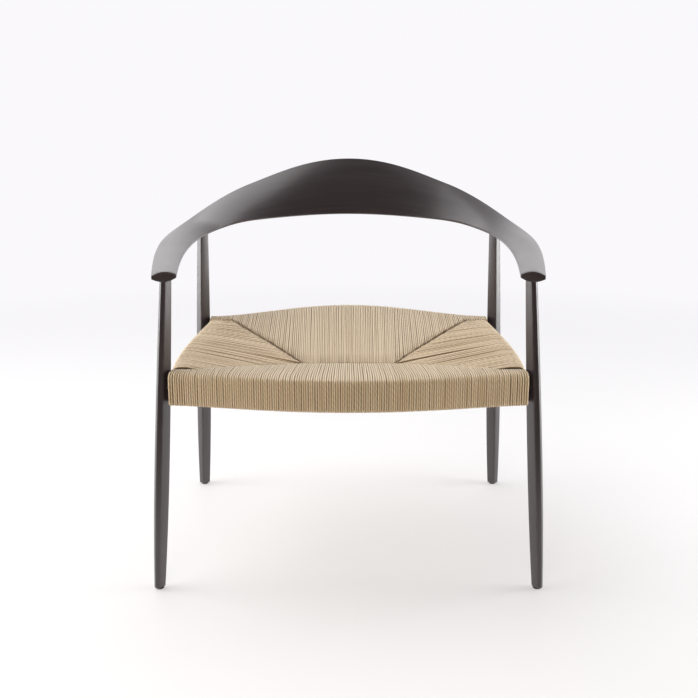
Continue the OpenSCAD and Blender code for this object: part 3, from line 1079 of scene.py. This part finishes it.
@dataclass
class CordSeat:
    """Envelope-woven seat: every turn of cord is its own strand round a rail and in to a seam."""

    front_y: float
    front_top: float
    front_face: float
    rail_half: float
    rear_face: float
    rear_top: float
    side_front: float
    side_rear: float
    cord: float = 0.0036
    cord_share: float = 0.985
    cord_sides: int = 8
    unevenness: float = 0.00012
    pitch: float = 0.00368
    box_height: float = 0.0562
    front_bow: float = 0.041
    rear_bow: float = 0.052
    rear_arch: float = 0.014
    rail_wrap: float = 0.0352
    side_wrap: float = 0.0332
    corner_x: float = 0.246
    front_seam_y: float = 0.0166
    rear_seam_y: float = 0.456
    seam_half: float = 0.083
    seam_y: float = 0.185
    seam_top: float = 0.359
    seam_low: float = 0.344
    front_apex: float = 0.085
    rear_apex: float = 0.094
    side_apex: float = 0.215
    side_gap: float = 0.0075
    seam_room: float = 0.0012
    front_gap: float = 0.0032
    front_step: float = 0.0028
    stagger: float = 0.0022
    wrap_gap: float = 0.0030
    low_corner: float = 0.0062
    front_corner: float = 0.0055
    front_corner_gain: float = 0.0065
    rear_corner: float = 0.0085
    side_corner: float = 0.0125
    side_loose: float = 2.4
    dive: float = 0.0026
    loose_dive: float = 0.0016
    crown: float = 0.0022
    rail_shoulder: float = 0.006
    end_lean: float = 0.0020
    side_bulge: float = 0.0095
    sink: float = 0.00045
    sag_share: float = 1.6
    seed: int = 7

    def front_line(self, x: float) -> float:
        """Local y of the front rail's cord face.

        Args:
            x: Distance from the middle plane, signed.
        Returns:
            The local y.
        """
        return self.front_face + self.front_bow * (1 - max(0.0, 1 - (x / self.rail_half) ** 2) ** 1.5)

    def rear_line(self, x: float) -> float:
        """Local y of the rear rail's cord face.

        Args:
            x: Distance from the middle plane, signed.
        Returns:
            The local y.
        """
        return self.rear_face - self.rear_bow * (1 - max(0.0, 1 - (x / self.rail_half) ** 2) ** 2)

    def rear_height(self, x: float) -> float:
        """Height of the cord over the rear rail.

        Args:
            x: Distance from the middle plane, signed.
        Returns:
            The height.
        """
        return self.rear_top - self.rear_arch * (1 - max(0.0, 1 - (x / self.rail_half) ** 2) ** 2)

    def side_height(self, y: float) -> float:
        """Height of the cord over a side rail.

        Args:
            y: Local y.
        Returns:
            The height.
        """
        share = (y - self.front_seam_y) / (self.rear_seam_y - self.front_seam_y)
        return self.front_top + (self.rear_height(self.rail_half) - self.front_top) * share

    def side_face(self, y: float) -> float:
        """Distance of a side rail's cord face from the middle plane.

        Args:
            y: Local y.
        Returns:
            The distance.
        """
        share = (y - self.front_seam_y) / (self.rear_seam_y - self.front_seam_y)
        bulge = self.side_bulge * math.sin(math.pi * min(1.0, max(0.0, share)) ** 0.75)
        return self.side_front + (self.side_rear - self.side_front) * share + bulge

    def spaced(self, line: Callable[[float], float], half: float, rng: random.Random) -> list[float]:
        """Places along a bowed rail, one cord apart along the curve.

        Args:
            line: Local y of the rail's face at x.
            half: Greatest distance from the middle.
            rng: Source of the small unevenness.
        Returns:
            The x of each turn, from left to right.
        """
        xs = np.linspace(-half, half, 4001)
        ys = np.array([line(x) for x in xs])
        run = np.concatenate([[0.0], np.cumsum(np.hypot(np.diff(xs), np.diff(ys)))])
        count = int(run[-1] / self.pitch)
        step = run[-1] / count
        at = [(k + 0.5 + rng.uniform(-0.07, 0.07)) * step for k in range(count)]
        return list(np.interp(at, run, xs))

    def section(
        self, reach: float, heights: tuple[float, float, float, float], wrap: float, corner: float,
        closed: bool, rng: random.Random, loose: float = 1.0,
    ) -> list[tuple[float, float]]:
        """Path of one turn in its own upright plane.

        Args:
            reach: Distance from the rail's face in to the seam or to the back of the rail.
            heights: Upper and lower surface at the rail, then at the seam.
            wrap: Depth of the wrapped rail.
            corner: Radius of the bend over the rail's upper outer edge.
            closed: The turn goes round the rail alone.
            rng: Source of the small unevenness.
            loose: How much lower than its neighbours the turn may lie.
        Returns:
            Points (distance inwards, height).
        """
        half = self.cord / 2
        top, low, seam_top, seam_low = heights
        drop = max(0.0, rng.gauss(0.0, 1.0)) * self.sink * loose
        zt, zb = top - half - drop * 0.4, low + half
        st, sb = seam_top - half, seam_low + half
        r = corner - half
        dive = self.dive + self.loose_dive * (loose - 1)
        sag = drop * self.sag_share
        path: list[tuple[float, float]] = []
        if closed:
            inner = reach - half
            path += [(inner, (zt + zb) / 2 - 0.003), (inner, zb + 0.006), (inner - 0.0018, zb + 0.0018)]
            path += [(inner - 0.006, zb), (corner + 0.004, zb)]
        else:
            flat = wrap - self.rail_shoulder
            path += [(reach + 0.0002, sb + 0.0062), (reach - 0.0005, sb + 0.0022), (reach - 0.0026, sb)]
            for f in (0.85, 0.6, 0.35, 0.12):
                path.append((flat + (reach - flat) * f, zb + (sb - zb) * f))
            path.append((flat * 0.6, zb))
        low_r = self.low_corner - half
        for a in (0, 30, 60, 90):
            turn = math.radians(a)
            path.append((half + low_r * (1 - math.sin(turn)), zb + low_r * (1 - math.cos(turn))))
        for f in (0.33, 0.67):
            path.append((half, zb + low_r + (zt - r - zb - low_r) * f))
        for a in (90, 60, 30, 0):
            turn = math.radians(a)
            path.append((half + r * (1 - math.sin(turn)), zt - r * (1 - math.cos(turn))))
        if closed:
            inner = reach - half
            path += [(inner - 0.006, zt), (inner - 0.0018, zt - 0.0018), (inner, zt - 0.006)]
            path += [(inner, (zt + zb) / 2)]
        else:
            flat = wrap - self.rail_shoulder
            full = self.crown * min(1.0, (reach - flat) / 0.2)
            path.append((flat * 0.62, zt))
            for f in (0.0, 0.15, 0.32, 0.5, 0.68, 0.85):
                rise = (full - sag) * 4 * f * (1 - f) * 0.6
                path.append((flat + (reach - flat) * f, zt + (st - zt) * f + rise))
            path += [(reach - dive, st + 0.0003), (reach - dive * 0.4, st - dive * 0.55)]
            path += [(reach + 0.0002, st - 0.0036 - dive)]
        return path

    def strand(
        self, face: tuple[float, float], seam: tuple[float, float],
        heights: tuple[float, float, float, float], wrap: float, corner: float, closed: bool,
        rng: random.Random, lean: float = 0.0, loose: float = 1.0,
    ) -> Strand:
        """One turn of cord from its place on a rail's face to its place on a seam.

        Args:
            face: Local (x, y) on the rail's face.
            seam: Local (x, y) on the seam.
            heights: Top and low at the rail, then top and low at the seam.
            wrap: Depth of the wrapped rail.
            corner: Radius over the rail's upper outer edge.
            closed: The turn goes round the rail alone.
            rng: Source of the small unevenness.
            lean: How far the turn leans sideways on the rail's face.
            loose: How much lower than its neighbours the turn may lie.
        Returns:
            The strand.
        """
        a, b = np.array(face), np.array(seam)
        reach = float(np.linalg.norm(b - a))
        ahead = (b - a) / reach
        beside = np.array([-ahead[1], ahead[0]])
        path = self.section(reach, heights, wrap, corner, closed, rng, loose)
        sway, phase = rng.uniform(-0.0003, 0.0003), rng.uniform(0, math.pi)
        points = []
        for k, (r, z) in enumerate(path):
            side = sway * math.sin(k * 0.5 + phase) + lean * max(-0.25, 1 - r / 0.024)
            xy = a + ahead * r + beside * side
            points.append((xy[0], xy[1] + self.front_y, z))
        # the last three points, where the turn dives into its seam, carry painted shadow
        shade = [0.0] * (len(path) - 3) + [rng.uniform(0.0, 0.4), rng.uniform(0.3, 1.0), 1.0]
        return Strand(np.array(points), shade, (beside[0], beside[1], 0.0), rng.random())

    def seam_point(self, place: float, apex: float, corner: tuple[float, float]) -> Triple:
        """Where a turn from a front or rear rail meets its seam.

        Args:
            place: Distance of the turn from the middle plane, signed.
            apex: Distance on the rail that leads to the end of the middle seam.
            corner: Distance and local y of the corner where the diagonal starts.
        Returns:
            Local x, local y and the share of the way from corner to middle seam.
        """
        sign, out = math.copysign(1.0, place), abs(place)
        if out <= apex:
            return place * self.seam_half / apex, self.seam_y, 1.0
        share = (corner[0] - out) / (corner[0] - apex)
        x = corner[0] + (self.seam_half - corner[0]) * share
        return sign * x, corner[1] + (self.seam_y - corner[1]) * share, share

    def blend_heights(self, top: float, share: float) -> tuple[float, float, float, float]:
        """Heights of a turn at its rail and at its seam.

        Args:
            top: Height of its upper surface at the rail.
            share: Share of the way from the corner to the middle seam.
        Returns:
            Upper and lower surface at the rail, then at the seam.
        """
        low = top - self.box_height
        return top, low, top + (self.seam_top - top) * share, low + (self.seam_low - low) * share

    def front_strands(self) -> list[Strand]:
        """Turns of the front rail.

        Returns:
            Its strands, from left to right.
        """
        rng = random.Random(self.seed)
        strands = []
        low = self.front_top - self.box_height
        for k, x in enumerate(self.spaced(self.front_line, self.rail_half + 0.0004, rng)):
            face = (x, self.front_line(x))
            corner = self.front_corner + self.front_corner_gain * (x / self.rail_half) ** 2
            closed, lean = abs(x) > self.corner_x, 0.0
            if closed:
                seam = (x, self.front_seam_y - self.wrap_gap)
                heights = (self.front_top, low, self.front_top, low)
                past = (abs(x) - self.corner_x) / (self.rail_half - self.corner_x)
                lean = -math.copysign(self.end_lean, x) * past**2
            else:
                sx, sy, share = self.seam_point(x, self.front_apex, (self.corner_x, self.front_seam_y))
                seam = (sx, sy - self.seam_room - self.stagger * (k % 2) * (share < 1))
                heights = self.blend_heights(self.front_top, share)
            strands.append(self.strand(face, seam, heights, self.rail_wrap, corner, closed, rng, lean))
        return strands

    def rear_strands(self) -> list[Strand]:
        """Turns of the rear rail.

        Returns:
            Its strands, from left to right.
        """
        rng = random.Random(self.seed + 1)
        strands = []
        for k, x in enumerate(self.spaced(self.rear_line, self.rail_half - 0.001, rng)):
            face, top = (x, self.rear_line(x)), self.rear_height(x)
            low = top - self.box_height
            closed = abs(x) > self.corner_x
            if closed:
                seam, heights = (x, self.rear_seam_y + 0.0004), (top, low, top, low)
            else:
                sx, sy, share = self.seam_point(x, self.rear_apex, (self.corner_x, self.rear_seam_y))
                seam = (sx, sy + self.seam_room + self.stagger * rng.uniform(-0.5, 1.4) * (share < 1))
                heights = self.blend_heights(top, share)
            strands.append(self.strand(face, seam, heights, self.rail_wrap, self.rear_corner, closed, rng))
        return strands

    def side_strands(self, side: Side) -> list[Strand]:
        """Turns of a side rail.

        Args:
            side: Which side rail.
        Returns:
            Its strands.
        """
        rng = random.Random(self.seed + 2 + side.value)
        start, end = self.front_seam_y + self.side_gap, self.rear_seam_y - self.side_gap
        count = int((end - start) / self.pitch)
        strands = []
        for k in range(count):
            y = start + (k + 0.5 + rng.uniform(-0.12, 0.12)) * (end - start) / count
            corner_y = self.front_seam_y if y < self.side_apex else self.rear_seam_y
            share = max(0.02, min(1.0, (y - corner_y) / (self.side_apex - corner_y)))
            seam_y = corner_y + (self.seam_y - corner_y) * share
            seam_x = self.corner_x + (self.seam_half - self.corner_x) * share
            ahead = y < self.side_apex
            seam_x += self.front_gap if ahead else self.seam_room
            seam_x += self.stagger * rng.uniform(-0.3, 1.2)
            top, low, seam_top, seam_low = self.blend_heights(self.side_height(y), share)
            step = self.front_step if ahead else 0.0002
            face = (side.value * self.side_face(y), y)
            seam = (side.value * seam_x, seam_y)
            heights = (top, low, seam_top - step, seam_low)
            strands.append(self.strand(
                face, seam, heights, self.side_wrap, self.side_corner, False, rng, loose=self.side_loose
            ))
        return strands

    def guides(self, name: str, strands: list[Strand]) -> Piece:
        """Puts strands' middle lines into one mesh of edges.

        Args:
            name: Name of the object.
            strands: The strands.
        Returns:
            The mesh of edges, with each point's run, tone, painted seam shadow and direction beside its
            turn.
        """
        points, edges, run, tone, shade, beside = [], [], [], [], [], []
        for strand in strands:
            first = len(points)
            steps = np.linalg.norm(np.diff(strand.points, axis=0), axis=1)
            points += [tuple(p) for p in strand.points]
            edges += [(first + k, first + k + 1) for k in range(len(strand.points) - 1)]
            run += list(np.concatenate([[0.0], np.cumsum(steps)]) + strand.tone)
            tone += [strand.tone] * len(strand.points)
            shade += strand.shade
            beside += [strand.beside] * len(strand.points)
        mesh = bpy.data.meshes.new(name)
        mesh.from_pydata(points, edges, [])
        piece = bpy.data.objects.new(name, mesh)
        bpy.context.scene.collection.objects.link(piece)
        add_point_values(piece, "run", np.array(run))
        add_point_values(piece, "tone", np.array(tone))
        add_point_values(piece, "shade", np.array(shade))
        add_point_vectors(piece, "beside", np.array(beside))
        return piece

    def build(self, name: str, strands: list[Strand], sweep: Tree, material: Material) -> Piece:
        """Sweeps a cord along every strand of a field.

        Args:
            name: Name of the piece.
            strands: The field's strands.
            sweep: Geometry node tree that makes the cords.
            material: Finish of the cord.
        Returns:
            The piece, as a plain mesh.
        """
        guide = self.guides(name + "_guides", strands)
        modifier = guide.modifiers.new("cords", "NODES")
        modifier.node_group = sweep
        settings = {
            "Cord Diameter": self.cord * self.cord_share, "Sides": self.cord_sides,
            "Unevenness": self.unevenness, "Seed": self.seed, "Finish": material,
        }
        for item in sweep.interface.items_tree:
            if item.item_type == "SOCKET" and item.in_out == "INPUT" and item.name in settings:
                modifier[item.identifier] = settings[item.name]
        guide.update_tag()
        graph = bpy.context.evaluated_depsgraph_get()
        swept = guide.evaluated_get(graph)
        mesh = bpy.data.meshes.new_from_object(swept, preserve_all_data_layers=True, depsgraph=graph)
        mesh.name = name
        guide.modifiers.remove(modifier)
        bpy.data.objects.remove(guide)
        piece = bpy.data.objects.new(name, mesh)
        bpy.context.scene.collection.objects.link(piece)
        return piece


def cord_sweep_tree() -> Tree:
    """Geometry nodes that sweep a round cord along every edge chain and nudge it unevenly.

    Returns:
        The tree, with inputs for the cord's diameter, its sides, the unevenness, a seed and the finish.
    """
    tree = bpy.data.node_groups.new("cord_sweep", "GeometryNodeTree")
    face = tree.interface
    face.new_socket("Geometry", in_out="INPUT", socket_type="NodeSocketGeometry")
    for label, kind, default in (
        ("Cord Diameter", "NodeSocketFloat", 0.0036), ("Sides", "NodeSocketInt", 8),
        ("Unevenness", "NodeSocketFloat", 0.0001), ("Seed", "NodeSocketInt", 1),
    ):
        face.new_socket(label, in_out="INPUT", socket_type=kind).default_value = default
    face.new_socket("Finish", in_out="INPUT", socket_type="NodeSocketMaterial")
    face.new_socket("Geometry", in_out="OUTPUT", socket_type="NodeSocketGeometry")
    given, outlet = tree.nodes.new("NodeGroupInput").outputs, tree.nodes.new("NodeGroupOutput")

    def add(kind: str, inputs: dict[str | int, object], **settings: object) -> bpy.types.NodeOutputs:
        """Adds a node to the tree.

        Args:
            kind: Blender's name of the node type.
            inputs: Number, vector or socket for each input.
            settings: Properties of the node.
        Returns:
            The node's outputs.
        """
        return add_node(tree, kind, inputs, **settings).outputs

    place = add("GeometryNodeInputPosition", {})[0]
    noisy = {"Vector": place, "W": given["Seed"], "Scale": 60.0}
    uneven = add("ShaderNodeTexNoise", noisy, noise_dimensions="4D")["Color"]
    centred = add("ShaderNodeVectorMath", {0: uneven, 1: (0.5, 0.5, 0.5)}, operation="SUBTRACT")[0]
    scaled = add("ShaderNodeVectorMath", {0: centred, "Scale": given["Unevenness"]}, operation="SCALE")[0]
    nudged = add("GeometryNodeSetPosition", {"Geometry": given["Geometry"], "Offset": scaled})[0]
    lines = add("GeometryNodeMeshToCurve", {0: nudged})[0]

    radius = maths(tree, "MULTIPLY", given["Cord Diameter"], 0.5)
    circle = add("GeometryNodeCurvePrimitiveCircle", {"Resolution": given["Sides"], "Radius": radius})
    turned = add("ShaderNodeVectorMath", {0: place}, operation="NORMALIZE")[0]
    around = add(
        "GeometryNodeStoreNamedAttribute", {"Geometry": circle["Curve"], "Name": "around", "Value": turned},
        data_type="FLOAT_VECTOR", domain="POINT",
    )[0]
    profile = {"Curve": lines, "Profile Curve": around, "Fill Caps": True}
    smooth = add("GeometryNodeSetShadeSmooth", {0: add("GeometryNodeCurveToMesh", profile)[0]})[0]

    # how squarely each point of the cord faces its neighbours, stored for painted shade on the flanks
    stored = add("GeometryNodeInputNamedAttribute", {"Name": "beside"}, data_type="FLOAT_VECTOR")
    normal = add("GeometryNodeInputNormal", {})[0]
    both = {0: normal, 1: stored["Attribute"]}
    facing = add("ShaderNodeVectorMath", both, operation="DOT_PRODUCT")["Value"]
    flank_shade = add(
        "GeometryNodeStoreNamedAttribute",
        {"Geometry": smooth, "Name": "flank_shade", "Value": maths(tree, "ABSOLUTE", facing)},
        data_type="FLOAT", domain="POINT",
    )[0]
    real = add("GeometryNodeRealizeInstances", {0: flank_shade})[0]
    dressed = add("GeometryNodeSetMaterial", {"Geometry": real, "Material": given["Finish"]})[0]
    tree.links.new(dressed, outlet.inputs[0])
    return tree


# ---------------------------------------------------------------- studio


@dataclass(frozen=True)
class SoftLight:
    """One square soft light, with its place and aim in metres and its power in watts."""

    name: str
    place: Triple
    aim: Triple
    side: float
    power: float
    tint: Triple = (1.0, 1.0, 1.0)
    mirrored: bool = True


LIGHTS = (
    SoftLight("overhead", (-0.8, 0.8, 2.6), (0.0, 0.1, 0.4), 2.6, 41.0),
    SoftLight("left_softbox", (-1.9, -0.45, 2.2), (0.0, 0.0, 0.4), 1.5, 14.0),
    SoftLight("left_panel", (-2.4, 0.05, 0.60), (0.0, -0.1, 0.25), 1.2, 31.0),
    SoftLight("right_panel", (2.4, 0.05, 0.60), (0.0, -0.1, 0.25), 1.2, 44.0),
    SoftLight("front_fill", (-0.4, -2.9, 0.9), (0.0, 0.0, 0.36), 1.4, 34.0, (1.0, 0.86, 0.66), False),
)


@dataclass
class Studio:
    """Pale floor, soft light and the camera."""

    front_y: float
    lights: tuple[SoftLight, ...] = LIGHTS
    camera_aside: float = 0.0008
    camera_height: float = 0.829
    camera_distance: float = 1.5995
    camera_pitch: float = 13.98
    focal_share: float = 1000.0 / 698.0
    sensor: float = 36.0
    paper: float = 0.955
    wall_power: float = 1.20
    ceiling_gain: float = -0.72
    side_reach: float = 0.4
    room_power: float = 0.07
    wall_from: float = -0.28
    wall_to: float = 0.08
    floor_radius: float = 12.0
    floor_points: int = 96
    fade_from: float = 0.8
    fade_to: float = 2.8
    floor_tone: float = 0.82
    floor_glow: float = 0.40
    dark_tone: float = 0.12
    dark_from: float = -0.85
    lit_from: float = -0.62

    def build(self) -> None:
        """Makes the camera, the floor, the lights and the world."""
        self.add_camera()
        self.add_floor()
        for light in self.lights:
            self.add_light(light)
        self.add_world()

    def add_camera(self) -> None:
        """Places the camera in front of the chair."""
        data = bpy.data.cameras.new("camera")
        data.sensor_width = self.sensor
        data.lens = self.sensor * self.focal_share
        data.dof.use_dof = False
        data.clip_end = 100.0
        camera = bpy.data.objects.new("camera", data)
        bpy.context.scene.collection.objects.link(camera)
        camera.location = (self.camera_aside, self.front_y - self.camera_distance, self.camera_height)
        camera.rotation_euler = (math.radians(90 - self.camera_pitch), 0.0, 0.0)
        bpy.context.scene.camera = camera

    def add_floor(self) -> None:
        """Makes a round floor that fades into the background and is dark in front in reflections only."""
        turns = np.arange(self.floor_points) * 2 * math.pi / self.floor_points
        ring = np.column_stack([np.cos(turns), np.sin(turns), 0 * turns]) * self.floor_radius
        floor = new_mesh_object("floor", ring, [list(range(self.floor_points))], smooth=False)
        material, tree, shader = new_material("pale_floor")
        shader.inputs["Roughness"].default_value = 0.55
        shader.inputs["Specular IOR Level"].default_value = 0.25
        glow = add_node(tree, "ShaderNodeEmission", {"Color": self.backdrop()})
        place = place_on_object(tree)
        length = add_node(tree, "ShaderNodeVectorMath", {0: place}, operation="LENGTH").outputs["Value"]
        fade = ramp(tree, length, self.fade_from, self.fade_to)
        near = ramp(tree, parts_of(tree, place)["Y"], self.dark_from, self.lit_from)
        lit = maths(tree, "MAXIMUM", near, self.seen_by_camera(tree))
        glowing = times_plus(tree, fade, 1.0 - self.floor_glow, self.floor_glow)
        tone = times_plus(tree, lit, self.floor_tone - self.dark_tone, self.dark_tone)
        grey = add_node(tree, "ShaderNodeCombineColor", {0: tone, 1: tone, 2: tone})
        tree.links.new(grey.outputs[0], shader.inputs["Base Color"])
        share = maths(tree, "MULTIPLY", glowing, lit)
        shaders = {0: share, 1: shader.outputs[0], 2: glow.outputs[0]}
        blend = add_node(tree, "ShaderNodeMixShader", shaders)
        tree.links.new(blend.outputs[0], tree.nodes["Material Output"].inputs["Surface"])
        floor.data.materials.append(material)

    def backdrop(self) -> tuple[float, float, float, float]:
        """Colour of the plain background.

        Returns:
            The colour with its alpha.
        """
        return colour(self.paper, self.paper * 0.985, self.paper * 1.01)

    def seen_by_camera(self, tree: Tree) -> Socket:
        """Mask of what the camera sees directly.

        Args:
            tree: Tree to add the node to.
        Returns:
            1 for what the camera sees and 0 for light and reflections.
        """
        return tree.nodes.new("ShaderNodeLightPath").outputs["Is Camera Ray"]

    def add_light(self, light: SoftLight) -> None:
        """Adds a square soft light.

        Args:
            light: The light to add.
        """
        data = bpy.data.lights.new(light.name, "AREA")
        data.shape = "SQUARE"
        data.size = light.side
        data.energy = light.power
        data.color = light.tint
        lamp = bpy.data.objects.new(light.name, data)
        bpy.context.scene.collection.objects.link(lamp)
        lamp.location = light.place
        lamp.rotation_euler = (Vector(light.aim) - Vector(light.place)).to_track_quat("-Z", "Y").to_euler()
        lamp.visible_camera = False
        lamp.visible_glossy = light.mirrored

    def add_world(self) -> None:
        """Makes a white surround that is darker on the side of the camera."""
        world = bpy.data.worlds.new("studio")
        bpy.context.scene.world = world
        world.use_nodes = True
        tree = world.node_tree
        sky = tree.nodes["Background"]
        ahead = parts_of(tree, tree.nodes.new("ShaderNodeTexCoord").outputs["Generated"])
        bent = times_plus(tree, maths(tree, "ABSOLUTE", ahead["X"]), self.side_reach, ahead["Y"])
        around = ramp(tree, bent, self.wall_from, self.wall_to)
        rise = times_plus(tree, ahead["Z"], self.ceiling_gain, 1.0)
        wall = maths(tree, "MULTIPLY", around, rise)
        tree.links.new(times_plus(tree, wall, self.wall_power, self.room_power), sky.inputs["Strength"])
        sky.inputs["Color"].default_value = colour(1.0, 0.985, 0.995)
        plain = add_node(tree, "ShaderNodeBackground", {"Color": self.backdrop()})
        shaders = {0: self.seen_by_camera(tree), 1: sky.outputs[0], 2: plain.outputs[0]}
        blend = add_node(tree, "ShaderNodeMixShader", shaders)
        tree.links.new(blend.outputs[0], tree.nodes["World Output"].inputs["Surface"])
        bpy.context.scene.view_settings.view_transform = "Standard"


# ---------------------------------------------------------------- the chair


FRONT_SECTION = ((-0.05, -0.5), (0.32, -0.5), (0.5, -0.2), (0.5, 0.26), (0.12, 0.5), (-0.5, 0.08))
REAR_SECTION = ((0.1, -0.5), (0.5, -0.18), (0.5, 0.22), (0.2, 0.5), (-0.3, 0.5), (-0.5, -0.04))


def foot_centre(node: str) -> tuple[float, float]:
    """Middle of a foot in plan, from its glide.

    Args:
        node: Name of the glide's node.
    Returns:
        Its x and y.
    """
    low, high = box_of(node)
    return float(low[0] + high[0]) / 2, float(low[1] + high[1]) / 2


def build_legs(glide_top: float, wood: Material) -> None:
    """Makes the four legs between their glides and the arms.

    Args:
        glide_top: Height of the top of a glide.
        wood: The legs' finish.
    """
    rail = TopRail(front_y=foot_centre("front_right_glide")[1])
    front_foot, rear_foot = foot_centre("front_right_glide"), foot_centre("rear_right_glide")
    for end, foot, top, width, section in (
        ("front", front_foot, (rail.arm_x, front_foot[1] + 0.004, 0.54485), 0.0254, FRONT_SECTION),
        ("rear", rear_foot, (rear_foot[0] - 0.017, rear_foot[1] - 0.014, 0.5618), 0.0296, REAR_SECTION),
    ):
        for side in Side:
            name = f"{end}_{side.name.lower()}_leg"
            leg = Leg(f"{name}_shaped", foot, top, width, section, glide_top)
            finish_piece(leg.build(side), "stained_wood", wood, name)


def build_top_rail(front_y: float, wood: Material) -> None:
    """Makes the arms and the backrest.

    Args:
        front_y: Place of the front feet along y.
        wood: Their finish.
    """
    rail = TopRail(front_y=front_y)
    for side in Side:
        finish_piece(rail.build_arm(side), "stained_wood", wood, f"{side.name.lower()}_arm")
    finish_piece(rail.build_back(), "stained_wood", wood, "backrest")


def build_seat(front_y: float, cord: Material) -> None:
    """Makes the four woven fields.

    Args:
        front_y: Place of the front feet along y.
        cord: Finish of the cord.
    """
    front_low, front_high = box_of("front_cord_field")
    _, rear_high = box_of("rear_cord_field")
    _, side_high = box_of("right_cord_field")
    seat = CordSeat(
        front_y=front_y,
        front_top=float(front_high[2]),
        front_face=float(front_low[1]) - front_y,
        rail_half=float(front_high[0]) - 0.0002,
        rear_face=float(rear_high[1]) - front_y,
        rear_top=float(rear_high[2]),
        side_front=float(side_high[0]),
        side_rear=float(side_high[0]) - 0.003,
    )
    sweep = cord_sweep_tree()
    fields = {
        "front": seat.front_strands(), "rear": seat.rear_strands(),
        "left": seat.side_strands(Side.LEFT), "right": seat.side_strands(Side.RIGHT),
    }
    for label, strands in fields.items():
        piece = seat.build(f"{label}_cord_turns", strands, sweep, cord)
        finish_piece(piece, "paper_cord", cord, f"{label}_cord_field")


def dress_packed_nodes(finishes: dict[str, Material]) -> None:
    """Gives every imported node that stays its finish.

    Args:
        finishes: Material of each record slot.
    """
    slots = {row["node"]: row["material_slot"] for row in frame["record"]["subparts"]}
    for name, node in frame["nodes"].items():
        material = finishes[slots[name]]
        for slot in node.material_slots:
            slot.material = material
        if not node.material_slots:
            node.data.materials.append(material)


def main() -> None:
    """Builds the chair and its studio."""
    logging.basicConfig(level=logging.INFO, format="%(message)s")
    front_y = foot_centre("front_right_glide")[1]
    glide_top = 0.003
    Studio(front_y=front_y).build()
    wood = StainedWood().build()
    cord = PaperCord().build()
    build_top_rail(front_y, wood)
    build_legs(glide_top, wood)
    build_seat(front_y, cord)
    dress_packed_nodes({
        "stained_wood": StainedWood(name="hidden_wood", source=GrainSource.OBJECT).build(),
        "dowel_wood": PlainWood().build(),
        "paper_cord": cord,
        "packing_card": PackingCard().build(),
        "glide_plastic": GlidePlastic().build(),
        "tack_steel": TackSteel().build(),
    })


if __name__ == "__main__":
    main()
